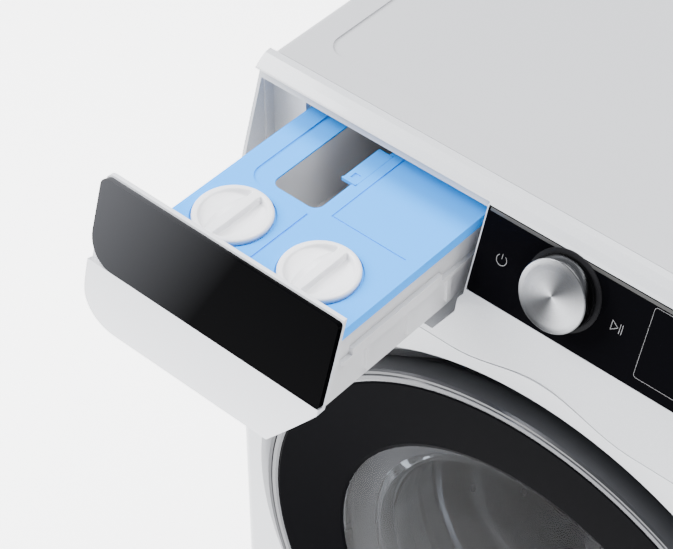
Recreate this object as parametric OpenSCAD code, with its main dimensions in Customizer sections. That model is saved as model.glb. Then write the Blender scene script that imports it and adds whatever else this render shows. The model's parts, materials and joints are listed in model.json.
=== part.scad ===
// Front load washing machine with a pull-out dispenser drawer.
// Origin on the floor at the centre of the cabinet's footprint: X right, Y to the back, Z up.
// The drawer is drawn pulled out by drawer_pull, and the door is drawn closed.

/* [Cabinet] */
// Overall width of the cabinet
body_w = 600; // [570:5:680]
// Overall depth of the cabinet, front panel to rear cover
body_d = 550; // [530:5:660]
// Overall height to the top panel
body_h = 850; // [845:1:865]
// Sheet thickness of the folded steel panels, drawn thick enough to handle
sheet = 2; // [1.5:0.1:2.5]
// Height of the cabinet's lower edge above the floor
floor_gap = 18; // [16:1:21]
// Radius of the rounded edges along the sides of the top panel
edge_r = 12; // [8:1:14]
// Depth of the recessed field pressed into the top panel
field_depth = 1.4; // [0.6:0.1:1.6]
// Margin of plain sheet around the recessed field
field_margin = 30; // [20:1:45]

/* [Fascia] */
// Distance of the seam between the front panel and the fascia below the top
fascia_h = 130; // [128:1:132]
// Rise of the seam's wave above the door
hump_rise = 16; // [12:1:18]
// Half the width of the seam's wave
hump_half = 80; // [70:1:100]
// Height of the black control glass's lower edge above the seam
glass_up = 55; // [52:1:57]
// Length of the control glass up its slope
glass_len = 69; // [66:0.5:70]
// Lean of the control glass away from vertical, in degrees
glass_tilt = 18; // [14:1:20]
// Thickness of the control glass and of the drawer's black panel
glass_t = 5; // [3:0.5:6]
// Left end of the control glass
glass_left = -75.7; // [-80:0.1:-72]
// Depth of the fascia from the front panel's face back to the seam with the top panel
fascia_d = 50; // [46:1:54]
// Wall of the moulded fascia
fascia_wall = 3; // [2.5:0.1:3.5]

/* [Controls] */
// Radius of the programme knob
knob_r = 27.6; // [24:0.1:29]
// Distance that the knob stands out from the glass
knob_h = 16; // [10:0.5:20]
// Place of the knob's axis across the machine
knob_x = -2; // [-10:1:20]
// Distance of the knob's axis up the slope of the glass
knob_up = 40; // [36:0.5:41]
// Radius of the ring around the knob
knob_ring_r = 30.6; // [30:0.1:32]
// Left end of the display window
display_x = 66; // [60:1:80]
// Width of the display window
display_w = 150; // [100:1:180]

/* [Door] */
// Height of the door's centre
door_z = 439.4; // [430:0.2:440]
// Outer radius of the dish pressed into the front panel
dish_r = 277; // [274:0.5:278]
// Radius of the edge of the recess that the door sits in
recess_r = 264.7; // [262:0.1:267]
// Depth of the dish before the recess starts
dish_d = 13.5; // [8:0.5:15]
// Outer radius of the door's metal rim
rim_r = 260.5; // [256:0.1:261]
// Distance that the rim stands out from the front panel
rim_out = 10; // [6:0.5:14]
// Wall of the metal rim
rim_wall = 4; // [3:0.1:5]
// Width of the grey ring inside the metal rim
bezel_w = 7; // [5:0.5:9]
// Radius of the clear window
window_r = 182.7; // [175:0.1:186]
// Distance of the recess floor behind the front panel's face
recess_d = 40; // [38:0.5:42]
// Radius of the loading opening in the front panel
port_r = 172; // [170:0.5:174]
// Outer radius of the glass bowl where it meets the door
bowl_r = 156; // [150:0.5:157]
// Depth of the glass bowl behind the door
bowl_d = 92; // [80:1:100]
// Distance of the hinge axis from the door's centre
hinge_x = 240; // [238:0.5:241]
// Distance of the hinge axis in front of the front panel's face
hinge_out = 2.3; // [2:0.1:2.5]
// Radius of the hinge pin
hinge_pin_r = 2.5; // [2:0.1:2.6]

/* [Drawer] */
// Distance that the drawer is drawn pulled out
drawer_pull = 156; // [120:1:170]
// Right edge of the drawer's front
drawer_right = -77.7; // [-82:0.1:-77.5]
// Thickness of the drawer's front, black panel and backing together
drawer_front_t = 8.4; // [7.5:0.1:9]
// Length of the tray behind the drawer's front
tray_len = 292; // [270:1:300]
// Left side of the tray
tray_left = -259.5; // [-261:0.1:-258]
// Right side of the tray
tray_right = -88.7; // [-91:0.1:-88]
// Height of the tray's floor above the fascia's seam
tray_up = 28; // [26:0.5:30]
// Height of the blue lid's top face above the tray's floor
lid_up = 67; // [64:0.5:68]
// Thickness of the blue lid's plate
lid_t = 2.4; // [2:0.1:3]
// Radius of the two filler caps
cap_r = 29.7; // [26:0.1:31]
// Radius of the filler neck that a cap's spigot turns in
neck_r = 24; // [20:0.1:25]
// Clearance between a cap's spigot and its filler neck
cap_gap = 0.4; // [0.3:0.05:0.8]

/* [Drum and tub] */
// Height of the drum's axis
drum_z = 430; // [428:1:434]
// Outer radius of the drum
drum_r = 245; // [225:1:247]
// Outer radius of the outer tub
tub_r = 268; // [262:1:270]
// Distance of the tub's front face behind the front panel's face
tub_front_in = 90; // [86:1:95]
// Length of the outer tub
tub_len = 355; // [330:1:370]
// Wall of the moulded tub
tub_wall = 5; // [4:0.5:6]
// Radius of the drum shaft
shaft_r = 15; // [12:0.5:18]
// Radius of the grooved rim of the drum pulley
pulley_r = 140; // [120:1:145]
// Radius of the motor pulley
motor_pulley_r = 11.2; // [9:0.1:14]
// Running clearance between the shaft and its bearings
run_gap = 0.05; // [0.02:0.01:0.09]
// Clearance between the belt and the pulleys that it runs on
belt_gap = 0.4; // [0.35:0.05:0.6]

/* [Hidden] */
$fn = 96;

gap = 0.4;                       // clearance between neighbouring bodies
front_y = -body_d / 2;
rear_y = body_d / 2;
half_w = body_w / 2;
seam_z = body_h - fascia_h;
glass_z = seam_z + glass_up;
tray_z = seam_z + tray_up;
lid_z = tray_z + lid_up;
panel_back = front_y + 14;       // plane behind the front panel's folded edge
pan_y = panel_back + 0.2;
arc_r = (glass_z - seam_z + 2) / sin(glass_tilt);
glass_y = front_y + arc_r * (1 - cos(glass_tilt));
glass_top_z = glass_z + glass_len * cos(glass_tilt);
glass_top_y = glass_y + glass_len * sin(glass_tilt);
fascia_back = front_y + fascia_d;
bulkhead_y = fascia_back + fascia_wall;
top_skirt_z = body_h - 34;       // lower edge of the top panel's skirt
wrap_top = top_skirt_z - gap;
rear_wall_y = rear_y - sheet;    // face that the rear cover lies on
door_c = [0, 0, door_z];
floor_y = front_y + recess_d;    // recess floor that faces the door
rim_y = front_y - rim_out;
rim_back_y = front_y + 13;
frame_back_y = floor_y - 2;
hinge_at = [-hinge_x, front_y - hinge_out];
hinge_half = 50;                 // half the height of the hinge
bracket_x = hinge_at[0] + 44;    // line of the bracket's arms and screws
lock_x = 212;                    // middle of the door lock's slot
tub_y = front_y + tub_front_in;
tub_end = tub_y + tub_len;
hub_len = 62;
drum_y = tub_y + 14;
drum_end = tub_end - 26;
belt_y = tub_end + 38;           // middle plane of the belt
belt_w = 14;
motor_at = [60, 92];
damper_y = tub_y + 176;
sump_at = [-70, tub_y + 225];
inlet = [180, body_h - 70];      // across and up: water inlet, drain and cable gland on the back
drain = [-190, body_h - 80];
gland = [-120, body_h - 60];
bay_screw = [-105, seam_z + 18];
pocket_left = -half_w + fascia_wall;
pocket_top = body_h - 18.4;
pocket_floor = seam_z + 6;
aperture = [tray_left - 4.5, tray_right + 4.5, tray_z - 7, lid_z + 7];
tray_front_y = front_y - drawer_pull + 34;
tray_back_y = tray_front_y + tray_len;
// plane of the suspension springs and of the rail above, between the housing's back and the tub's
spring_y = (tub_end + tray_back_y + drawer_pull + 12) / 2 + 7.5;
tray_w = tray_right - tray_left;
tray_mid = (tray_right + tray_left) / 2;
split_x = tray_mid - 9;          // groove between the two halves of the lid
well = [tray_left + 34, split_x + 2, tray_front_y + 90, tray_back_y - 14];  // manual compartment
caps_at = [[tray_mid - 47, tray_front_y + 46], [tray_mid + 37, tray_front_y + 43.5]];
lid_rim = 9;
flap = [-255, -150, 52, 134];    // left, right, bottom and top of the service flap's opening
filter_at = [-200, 94];

// Seam height across the machine: flat, with one cosine wave above the door
function seam(x) = seam_z + (abs(x) < hump_half ? hump_rise * (1 + cos(180 * x / hump_half)) / 2 : 0);
// Front face at height z: vertical, then an arc up to the lean of the glass, then straight
function face_y(z) = z < seam_z - 2 ? front_y
  : z < glass_z ? front_y + arc_r - sqrt(pow(arc_r, 2) - pow(z - seam_z + 2, 2))
  : glass_y + (z - glass_z) * tan(glass_tilt);
// Points up the front face between two heights, moved back by d
function face(z0, z1, d, n = 14) =
  [for (i = [0:n]) let (z = z0 + (z1 - z0) * i / n) [face_y(z) + d, z]];
function arc(c, r, a0, a1, n = 12) =
  [for (i = [0:n]) let (a = a0 + (a1 - a0) * i / n) [c[0] + r * cos(a), c[1] + r * sin(a)]];
function ring_pt(p, u, v, r, a) = p + r * cos(a) * u + r * sin(a) * v;
function unit(v) = v / norm(v);
// A tube of round section swept along a list of points
function tube_points(route, r, sides) = [for (i = [0:len(route) - 1])
  let (a = route[max(i - 1, 0)], b = route[min(i + 1, len(route) - 1)], t = unit(b - a),
       helper = abs(t[2]) < 0.9 ? [0, 0, 1] : [1, 0, 0],
       u = unit(cross(t, helper)), v = cross(t, u))
  for (k = [0:sides - 1]) ring_pt(route[i], u, v, r, 360 * k / sides)];
function bezier(a, b, c, d, n) = [for (i = [0:n]) let (t = i / n)
  pow(1 - t, 3) * a + 3 * pow(1 - t, 2) * t * b + 3 * (1 - t) * t * t * c + t * t * t * d];

module tube(route, r, sides = 12) {
  n = len(route);
  polyhedron(tube_points(route, r, sides), concat(
    [[for (k = [0:sides - 1]) k]],
    [for (i = [0:n - 2]) for (k = [0:sides - 1]) let (j = (k + 1) % sides)
      [(i + 1) * sides + k, (i + 1) * sides + j, i * sides + j, i * sides + k]],
    [[for (k = [sides - 1:-1:0]) (n - 1) * sides + k]]), convexity = 10);
}
// A profile of [radius, y] turned about an axis along Y through height z
module turned(profile, z = 0, x = 0) {
  translate([x, 0, z]) rotate([-90, 0, 0]) rotate_extrude($fn = 128) polygon(profile);
}
module rod_y(x, z, r, y0, y1) {
  translate([x, y0, z]) rotate([-90, 0, 0]) cylinder(r = r, h = y1 - y0);
}
module rod_z(x, y, r, z0, z1) {
  translate([x, y, z0]) cylinder(r = r, h = z1 - z0);
}
module block(x0, x1, y0, y1, z0, z1) {
  translate([x0, y0, z0]) cube([x1 - x0, y1 - y0, z1 - z0]);
}
// A [y, z] outline drawn from x0 to x1
module side_slab(x0, x1, outline) {
  translate([x0, 0, 0]) rotate([90, 0, 90]) linear_extrude(x1 - x0) polygon(outline);
}
// A 2D outline in [x, z] drawn from y0 back to y1
module front_slab(y0, y1) {
  translate([0, y1, 0]) rotate([90, 0, 0]) linear_extrude(y1 - y0) children();
}
// A rectangle whose corners have their own radii: lower left, lower right, upper right, upper left
module rounded(x0, x1, z0, z1, r) {
  polygon(concat(arc([x0 + r[0], z0 + r[0]], r[0], 180, 270), arc([x1 - r[1], z0 + r[1]], r[1], 270, 360),
                 arc([x1 - r[2], z1 - r[2]], r[2], 0, 90), arc([x0 + r[3], z1 - r[3]], r[3], 90, 180)));
}
// The sloping plane of the glass: x along it, z up the slope, -y out of it
module on_glass() { translate([0, glass_y, glass_z]) rotate([-glass_tilt, 0, 0]) children(); }
module from_glass(x, up) { on_glass() translate([x, 0, up]) rotate([90, 0, 0]) children(); }
module drawn_out() { translate([0, -drawer_pull, 0]) children(); }

// --- cabinet ---------------------------------------------------------------
module base_pan() {
  color("#b9bcc0") difference() {
    block(-half_w + sheet, half_w - sheet, pan_y, rear_wall_y - sheet, floor_gap, floor_gap + 22);
    block(-half_w + 2 * sheet, half_w - 2 * sheet, pan_y + sheet, rear_wall_y - 2 * sheet,
          floor_gap + sheet, floor_gap + 30);
    for (x = [-1, 1], y = [-1, 1])
      rod_z(x * (half_w - 45), y * (body_d / 2 - 50), 6, 0, 80);
  }
}
module cabinet_wrap() {
  inner = half_w - sheet;
  color("#e6e7ea") difference() {
    block(-half_w, half_w, panel_back, rear_wall_y, floor_gap, wrap_top);
    block(-inner, inner, front_y, rear_wall_y - sheet, 0, body_h);
    front_slab(rear_wall_y - 10, rear_y) rounded(-half_w + 90, half_w - 90, 120,
      body_h - 150, [12, 12, 12, 12]);
    block(-half_w - 1, half_w + 1, front_y, fascia_back + gap, seam_z, body_h);
    rod_y(inlet[0], inlet[1], 14.5, rear_wall_y - 10, rear_y);
    rod_y(drain[0], drain[1], 12.4, rear_wall_y - 10, rear_y);
    rod_y(gland[0], gland[1], 9.4, rear_wall_y - 10, rear_y);
    for (x = [-1, 1], z = [230, 560]) rod_y(x * (half_w - 45), z, 9, rear_wall_y - 10, rear_y);
    for (p = cover_screws()) rod_y(p[0], p[1], 2.2, rear_wall_y - 10, rear_y);
    // seams at the rear corners, where the back sheet meets the two sides
    for (x = [-1, 1]) block(x * (inner - 0.1) - 0.1, x * (inner - 0.1) + 0.1, rear_wall_y - sheet - 1,
      rear_wall_y + 1, 0, body_h);
  }
}
function cover_screws() = concat(
  [for (x = [-1, 1], z = [110, 300, 520, body_h - 138]) [x * (half_w - 80), z]], [[0, 110],
    [0, body_h - 138]]);
module rear_cover() {
  color("#d9dbde") difference() {
    front_slab(rear_wall_y, rear_y) rounded(-half_w + 72, half_w - 72, 102, body_h - 130, [10, 10, 10, 10]);
    for (i = [0:8]) front_slab(rear_wall_y - 1, rear_y + 1)
      rounded(-90, 90, 560 + i * 14, 565 + i * 14, [2.4, 2.4, 2.4, 2.4]);
    for (p = cover_screws()) rod_y(p[0], p[1], 2.2, rear_wall_y - 1, rear_y + 1);
  }
}
// Cross-section of the top panel in [x, z], moved in by d all round its outside
module top_section(d) {
  h = half_w - d;
  r = edge_r - d;
  polygon(concat([[-h, top_skirt_z]], [[h, top_skirt_z]],
    arc([h - r, body_h - d - r], r, 0, 90), arc([-h + r, body_h - d - r], r, 90, 180)));
}
module top_panel() {
  fy = fascia_back + gap;
  color("#d6d7da") difference() {
    front_slab(fy, rear_y) top_section(0);
    difference() {
      front_slab(fy + 2 * sheet, rear_y - sheet) top_section(sheet + field_depth);
    }
    block(-half_w, half_w, fy - 1, fy + 3 * sheet, 0, body_h - 5);
    translate([0, 0, body_h - field_depth]) linear_extrude(10)
      rounded(-half_w + field_margin, half_w - field_margin, fy + 26, rear_y - field_margin,
              [16, 16, 16, 16]);
  }
}
module front_panel() {
  back = panel_back - gap;
  wall = fascia_wall;
  edge = [for (x = [half_w:-5:-half_w]) [x, seam(x) - gap]];
  color("#e3e4e8") difference() {
    union() {
      difference() {
        intersection() {
          linear_extrude(body_h) rounded(-half_w, half_w, front_y, back + 20, [10, 10, 1, 1]);
          front_slab(front_y, back) polygon(concat([[-half_w, 30], [half_w, 30]], edge));
        }
        intersection() {
          linear_extrude(body_h) rounded(-half_w + wall, half_w - wall, front_y + wall, back + 30, [8, 8,
            1, 1]);
          front_slab(front_y, back + 30)
            polygon([for (p = concat([[-half_w, 33],
              [half_w, 33]], edge)) [p[0], p[1] > 40 ? p[1] - wall : p[1]]]);
        }
        rod_y(0, door_z, dish_r, front_y - 1, back + 1);
      }
      turned([[dish_r + wall, front_y + wall], [dish_r + wall, front_y + 0.01], [dish_r, front_y],
              [recess_r, front_y + dish_d], [recess_r, floor_y], [port_r, floor_y], [port_r, floor_y + 10],
              [port_r + wall, floor_y + 10], [port_r + wall, floor_y + wall],
                [recess_r + wall, floor_y + wall],
              [recess_r + wall, front_y + dish_d]], door_z);
    }
    front_slab(floor_y - 1, floor_y + 9) rounded(lock_x - 13, lock_x + 15, door_z - 24, door_z + 24, [4,
      4, 4, 4]);
    front_slab(front_y - 1, back + 1) rounded(flap[0], flap[1], flap[2], flap[3], [2, 2, 8, 8]);
    for (z = [-1, 1]) rod_y(bracket_x, door_z + z * 12, 2.2, floor_y - 1, floor_y + 9);
  }
}
module service_flap() {
  color("#e1e2e6") {
    front_slab(front_y + 0.2, front_y + 3)
      rounded(flap[0] + gap, flap[1] - gap, flap[2] + gap, flap[3] - gap, [1.6, 1.6, 7.6, 7.6]);
    difference() {
      front_slab(front_y + 3, front_y + 7)
        rounded(flap[0] + 6, flap[1] - 6, flap[2] + 9, flap[3] - 6, [6, 6, 6, 6]);
      front_slab(front_y + 2.9, front_y + 8)
        rounded(flap[0] + 8, flap[1] - 8, flap[2] + 11, flap[3] - 8, [5, 5, 5, 5]);
    }
  }
}

// --- fascia and controls ---------------------------------------------------
function drawer_slot(g) = [[-half_w - 5, glass_top_z + 0.9], [drawer_right + g, glass_top_z + 0.9],
  [drawer_right + g, glass_z - 5], [drawer_right - 41 + g, seam_z - 8], [-half_w - 5, seam_z - 8]];
// Side outline of the fascia, moved in by d from the face and from the top
function fascia_outline(d, low, back) = concat(face(low, glass_top_z, d, 18),
  d > 0 ? [[fascia_back - 12, body_h - d]] :
    [[glass_top_y + 3.5, glass_top_z + 1.4], [glass_top_y + 8, glass_top_z + 5.6],
      [glass_top_y + 14, body_h - 0.6]],
  [[fascia_back, body_h - d], [back, body_h - d], [back, low]]);
module control_fascia() {
  low = seam_z + gap;
  wall = fascia_wall;
  color("#e6e7ea") difference() {
    union() {
      side_slab(-half_w, half_w, fascia_outline(0, low, fascia_back));
      block(-half_w + wall, glass_left, fascia_back - 1, bulkhead_y, low, pocket_top + wall);
    }
    // hollow behind the controls, and the slim space over the pocket
    side_slab(glass_left + 1, half_w - wall, fascia_outline(glass_t + wall, low - 1, bulkhead_y + 1));
    // bed of the glass, down its slope and open to the right
    on_glass() block(glass_left - 0.3, half_w + 5, -20, glass_t + 0.1, -0.3, glass_len + 0.4);
    // wave of the seam
    front_slab(front_y - 5, bulkhead_y + 5)
      polygon(concat([for (i = [0:16]) let (x = hump_half * (i / 8 - 1)) [x, seam(x) + gap]],
        [[hump_half, seam_z - 20], [-hump_half, seam_z - 20]]));
    // room for the drawer's front, then the pocket behind it and the tray's aperture
    intersection() {
      front_slab(front_y - 20, bulkhead_y) polygon(drawer_slot(0.8));
      side_slab(-half_w - 5, glass_left, concat(face(seam_z - 6, glass_top_z, drawer_front_t + 0.5, 18),
        [[glass_top_y + drawer_front_t, glass_top_z + 3], [front_y - 20, glass_top_z + 3],
         [front_y - 20, seam_z - 6]]));
    }
    intersection() {
      front_slab(front_y - 20, fascia_back - 1) polygon([[pocket_left, pocket_top],
        [drawer_right - 3, pocket_top], [drawer_right - 3, tray_z + 5], [drawer_right - 20, pocket_floor],
        [pocket_left, pocket_floor]]);
      block(-half_w, 0, front_y, fascia_back - 1, 0, body_h);
    }
    front_slab(fascia_back - 5, bulkhead_y + 5)
      rounded(aperture[0], aperture[1], aperture[2], aperture[3], [9, 9, 6, 6]);
    from_glass(knob_x, knob_up) translate([0, 0, -30]) cylinder(r = 8.4, h = 60);
    on_glass() block(display_x, display_x + display_w, -5, 30, 10, glass_len - 8);
    rod_y(bay_screw[0], bay_screw[1], 1.9, fascia_back - 5, bulkhead_y + 5);
  }
  // vertical rib on the inside of the left flank
  color("#e6e7ea") block(pocket_left - 0.5, pocket_left + 2, fascia_back - 12, fascia_back - 9,
    pocket_floor - 1,
                         pocket_top + 1);
}
module control_glass() {
  color("#0d0d0f") difference() {
    on_glass() front_slab(0, glass_t) rounded(glass_left, half_w - 0.4, 0, glass_len, [3, 24, 7, 3]);
    from_glass(knob_x, knob_up) translate([0, 0, -30]) cylinder(r = 8.4, h = 60);
    on_glass() front_slab(-1, 1)
      rounded(display_x, display_x + display_w, 8.5, glass_len - 4, [2.4, 2.4, 2.4, 2.4]);
  }
}
module display_window() {
  color("#1a1c22") on_glass() front_slab(0, 0.95)
    rounded(display_x + 0.1, display_x + display_w - 0.1, 8.6, glass_len - 4.1, [2.3, 2.3, 2.3, 2.3]);
}
module control_board() {
  color("#2f6b45") {
    on_glass() difference() {
      block(-60, half_w - 30, glass_t + fascia_wall + 9, glass_t + fascia_wall + 10.6, 6, glass_len - 8);
      translate([knob_x, 0, knob_up]) rotate([-90, 0, 0]) cylinder(r = 3.6, h = 60);
    }
    on_glass() block(display_x + 4, display_x + display_w - 4, glass_t + 0.6, glass_t + fascia_wall + 9, 14,
                     glass_len - 12);
  }
}
module knob_ring() {
  color("#2a2b2d") from_glass(knob_x, knob_up) difference() {
    cylinder(r = knob_ring_r, h = 1.4);
    translate([0, 0, -1]) cylinder(r = 8.4, h = 4);
  }
}
module knob() {
  color("#b5b7ba") from_glass(knob_x, knob_up) {
    difference() {
      translate([0, 0, 1.4 + gap]) cylinder(r = knob_r, h = knob_h - 1.4 - gap - 1.2);
      translate([0, 0, 1]) cylinder(r = knob_r - 2, h = 6);
    }
    translate([0, 0, knob_h - 1.2]) rotate_extrude($fn = 128)
      polygon([[0, 0], [knob_r, 0], [knob_r - 0.3, 0.7], [knob_r - 1.2, 1.2], [knob_r - 2, 0.9], [0, 0.4]]);
    translate([0, 0, -glass_t - fascia_wall - 6]) cylinder(r = 8, h = 22);
    translate([0, 0, -glass_t - fascia_wall - 14]) cylinder(r = 3, h = 10);
  }
}

// --- dispenser -------------------------------------------------------------
house = [tray_left - 6, tray_right + 6, bulkhead_y + gap, tray_back_y + drawer_pull + 12,
         tray_z - 12, lid_z + 12];
module dispenser_housing() {
  color("#e2e2df") difference() {
    block(house[0], house[1], house[2], house[3], house[4], house[5]);
    block(house[0] + 2.5, house[1] - 2.5, house[2] - 1, house[3] - 2.5, house[4] + 2.5, house[5] + 1);
    rod_z(tray_mid, house[3] - 30, 14, house[4] - 5, house[4] + 5);
  }
  color("#e2e2df") difference() {
    rod_z(tray_mid, house[3] - 30, 17, house[4] - 16, house[4]);
    rod_z(tray_mid, house[3] - 30, 14, house[4] - 17, house[4] + 1);
  }
}
module dispenser_cover() {
  color("#d8d8d5") difference() {
    block(house[0], house[1], house[2], house[3], house[5], house[5] + 3);
    for (i = [0:7]) block(house[0] + 24 + i * 16, house[0] + 30 + i * 16, house[2] + 40, house[3] - 60,
                          house[5] + 1.6, house[5] + 4);
  }
}
module inlet_valve() {
  color("#e9e9e6") {
    difference() {
      union() {
        block(inlet[0] - 25, inlet[0] + 25, rear_wall_y - sheet - 44, rear_wall_y - sheet - 4,
          inlet[1] - 25, inlet[1] + 25);
        rod_y(inlet[0], inlet[1], 17, rear_wall_y - sheet - 4, rear_wall_y - sheet);
        rod_y(inlet[0], inlet[1], 12.6, rear_wall_y - sheet - 1, rear_y + 1);
        rod_y(inlet[0], inlet[1], 13.1, rear_y, rear_y + 14);
      }
      rod_y(inlet[0], inlet[1], 8, rear_wall_y - 40, rear_y + 15);
    }
    rod_y(inlet[0], inlet[1] - 15, 8, rear_wall_y - sheet - 62, rear_wall_y - sheet - 44);
  }
}
module drain_spigot() {
  color("#46484b") difference() {
    union() {
      rod_y(drain[0], drain[1], 16, rear_wall_y - sheet - 5, rear_wall_y - sheet);
      rod_y(drain[0], drain[1], 11.5, rear_wall_y - sheet - 30, rear_y + 1);
      rod_y(drain[0], drain[1], 12, rear_y, rear_y + 18);
    }
    rod_y(drain[0], drain[1], 8.5, rear_wall_y - 60, rear_y + 20);
  }
}
module power_gland() {
  color("#2b2c2e") difference() {
    union() {
      rod_y(gland[0], gland[1], 12, rear_y - sheet, rear_y + 3);
      rod_y(gland[0], gland[1], 9, rear_wall_y - sheet - 8, rear_y + 8);
    }
    rod_y(gland[0], gland[1], 4, rear_wall_y - 40, rear_y + 10);
  }
}
module main_board_box() {
  color("#c9cacb") difference() {
    block(90, half_w - 30, fascia_back + 20, fascia_back + 190, body_h - 82, body_h - 44);
    block(92.5, half_w - 32.5, fascia_back + 22.5, fascia_back + 187.5, body_h - 79.5,
          body_h - 43);
  }
  color("#2f6b45") block(96, half_w - 36, fascia_back + 26, fascia_back + 184, body_h - 76,
                         body_h - 74);
  color("#c9cacb") for (x = [110, half_w - 50], y = [40, 170])
    rod_z(x, fascia_back + y, 4, body_h - 80, body_h - 76);
}
module cross_rail() {
  color("#b9bcc0") difference() {
    block(-half_w + sheet + 0.3, half_w - sheet - 0.3, spring_y - 14, spring_y + 14, body_h - 64,
      body_h - 42);
    block(-half_w, half_w, spring_y - 12, spring_y + 12, body_h - 70, body_h - 44);
  }
}

// --- door opening side -----------------------------------------------------
module door_lock() {
  color("#e6e6e4") difference() {
    block(lock_x - 18, lock_x + 22, floor_y + fascia_wall + 0.05, floor_y + 38, door_z - 36, door_z + 36);
    block(lock_x - 14, lock_x + 16, floor_y, floor_y + 29, door_z - 25, door_z + 25);
  }
}
// One arm of the hinge: out from the pin under the door's cover, then back to the recess floor
module hinge_arm_outline() {
  foot = floor_y - 3 - hinge_at[1];
  circle(r = 4.1);
  polygon([[0, -3.5], [48, 5], [48, foot], [40, foot], [40, 12], [-1, 3.6]]);
}
module hinge_bracket() {
  color("#8d9094") difference() {
    union() {
      for (z = [-1, 1]) translate([hinge_at[0], hinge_at[1], door_z + z * 36 - 9])
        linear_extrude(18) hinge_arm_outline();
      front_slab(floor_y - 3, floor_y) rounded(bracket_x - 8, bracket_x + 8, door_z - 48, door_z + 48,
                                               [3, 3, 3, 3]);
    }
    rod_z(hinge_at[0], hinge_at[1], hinge_pin_r + run_gap, door_z - hinge_half - 5,
      door_z + hinge_half + 5);
    for (z = [-1, 1]) rod_y(bracket_x, door_z + z * 12, 2.2, front_y, floor_y + 1);
  }
}
module hinge_pin() {
  color("#c8cacc") {
    rod_z(hinge_at[0], hinge_at[1], hinge_pin_r, door_z - hinge_half, door_z + hinge_half);
  }
}
module bellows() {
  lip = port_r + fascia_wall;
  neck = port_r + 2;
  color("#77797c") turned([[port_r - 10, floor_y - 1.2], [lip + 4, floor_y - 1.2], [lip + 4, floor_y - 0.1],
    [port_r - 0.1, floor_y - 0.1], [port_r - 0.1, floor_y + 10.1], [lip + 0.1, floor_y + 10.1],
    [lip + 0.1, floor_y + 3.1], [lip + 3, floor_y + 3.1], [lip + 3, floor_y + 13],
      [port_r - 3, floor_y + 13],
    [port_r - 3, floor_y + 18], [neck + 14, floor_y + 22], [neck + 14, floor_y + 26],
      [port_r - 2, floor_y + 30],
    [port_r - 2, floor_y + 34], [neck + 16, floor_y + 38], [neck + 16, tub_y - 0.2],
      [neck + 3.2, tub_y - 0.2],
    [neck + 3.2, tub_y + 12], [neck + 0.2, tub_y + 12], [neck + 0.2, tub_y - 3.4], [neck + 12, tub_y - 3.4],
    [neck + 12, floor_y + 41], [port_r - 6, floor_y + 35], [port_r - 6, floor_y + 29],
      [neck + 10, floor_y + 25],
    [neck + 10, floor_y + 23], [port_r - 7, floor_y + 19], [port_r - 7, floor_y + 4],
      [port_r - 10, floor_y + 2]],
    door_z);
}
module bellows_clamps() {
  lip = port_r + fascia_wall + 3.1;
  color("#c8cacc") {
    turned([[lip, floor_y + 5], [lip + 1.5, floor_y + 5], [lip + 1.5, floor_y + 11],
      [lip, floor_y + 11]], door_z);
    translate([lip + 0.5, floor_y + 5, door_z - 6]) cube([9, 6, 12]);
  }
}

// --- tub -------------------------------------------------------------------
tub_split = tub_y + 150;
port_tub = port_r + 2 + 3.3;     // radius of the tub's mouth, which the bellows lines
door_drop = door_z - drum_z;
module tub_front() {
  flange = tub_r + 9;
  color("#c7c9cb") difference() {
    turned([[tub_r, tub_split], [flange, tub_split], [flange, tub_split - 8], [tub_r, tub_split - 8],
      [tub_r, tub_y + 34], [tub_r - 34, tub_y + 4], [port_tub + 22, tub_y], [120, tub_y], [120, tub_y + 16],
      [tub_r - 40, tub_y + 10], [tub_r - tub_wall, tub_y + 38], [tub_r - tub_wall, tub_split]], drum_z);
    rod_y(0, door_z, port_tub, tub_y - 5, tub_y + 40);
    for (a = [15:30:345]) rotate_about_drum(a) rod_y(tub_r + 4.5, drum_z, 2.5, tub_split - 10,
      tub_split + 1);
  }
}
module rotate_about_drum(a) { translate([0, 0, drum_z]) rotate([0, a, 0]) translate([0, 0,
  -drum_z]) children(); }
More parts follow.
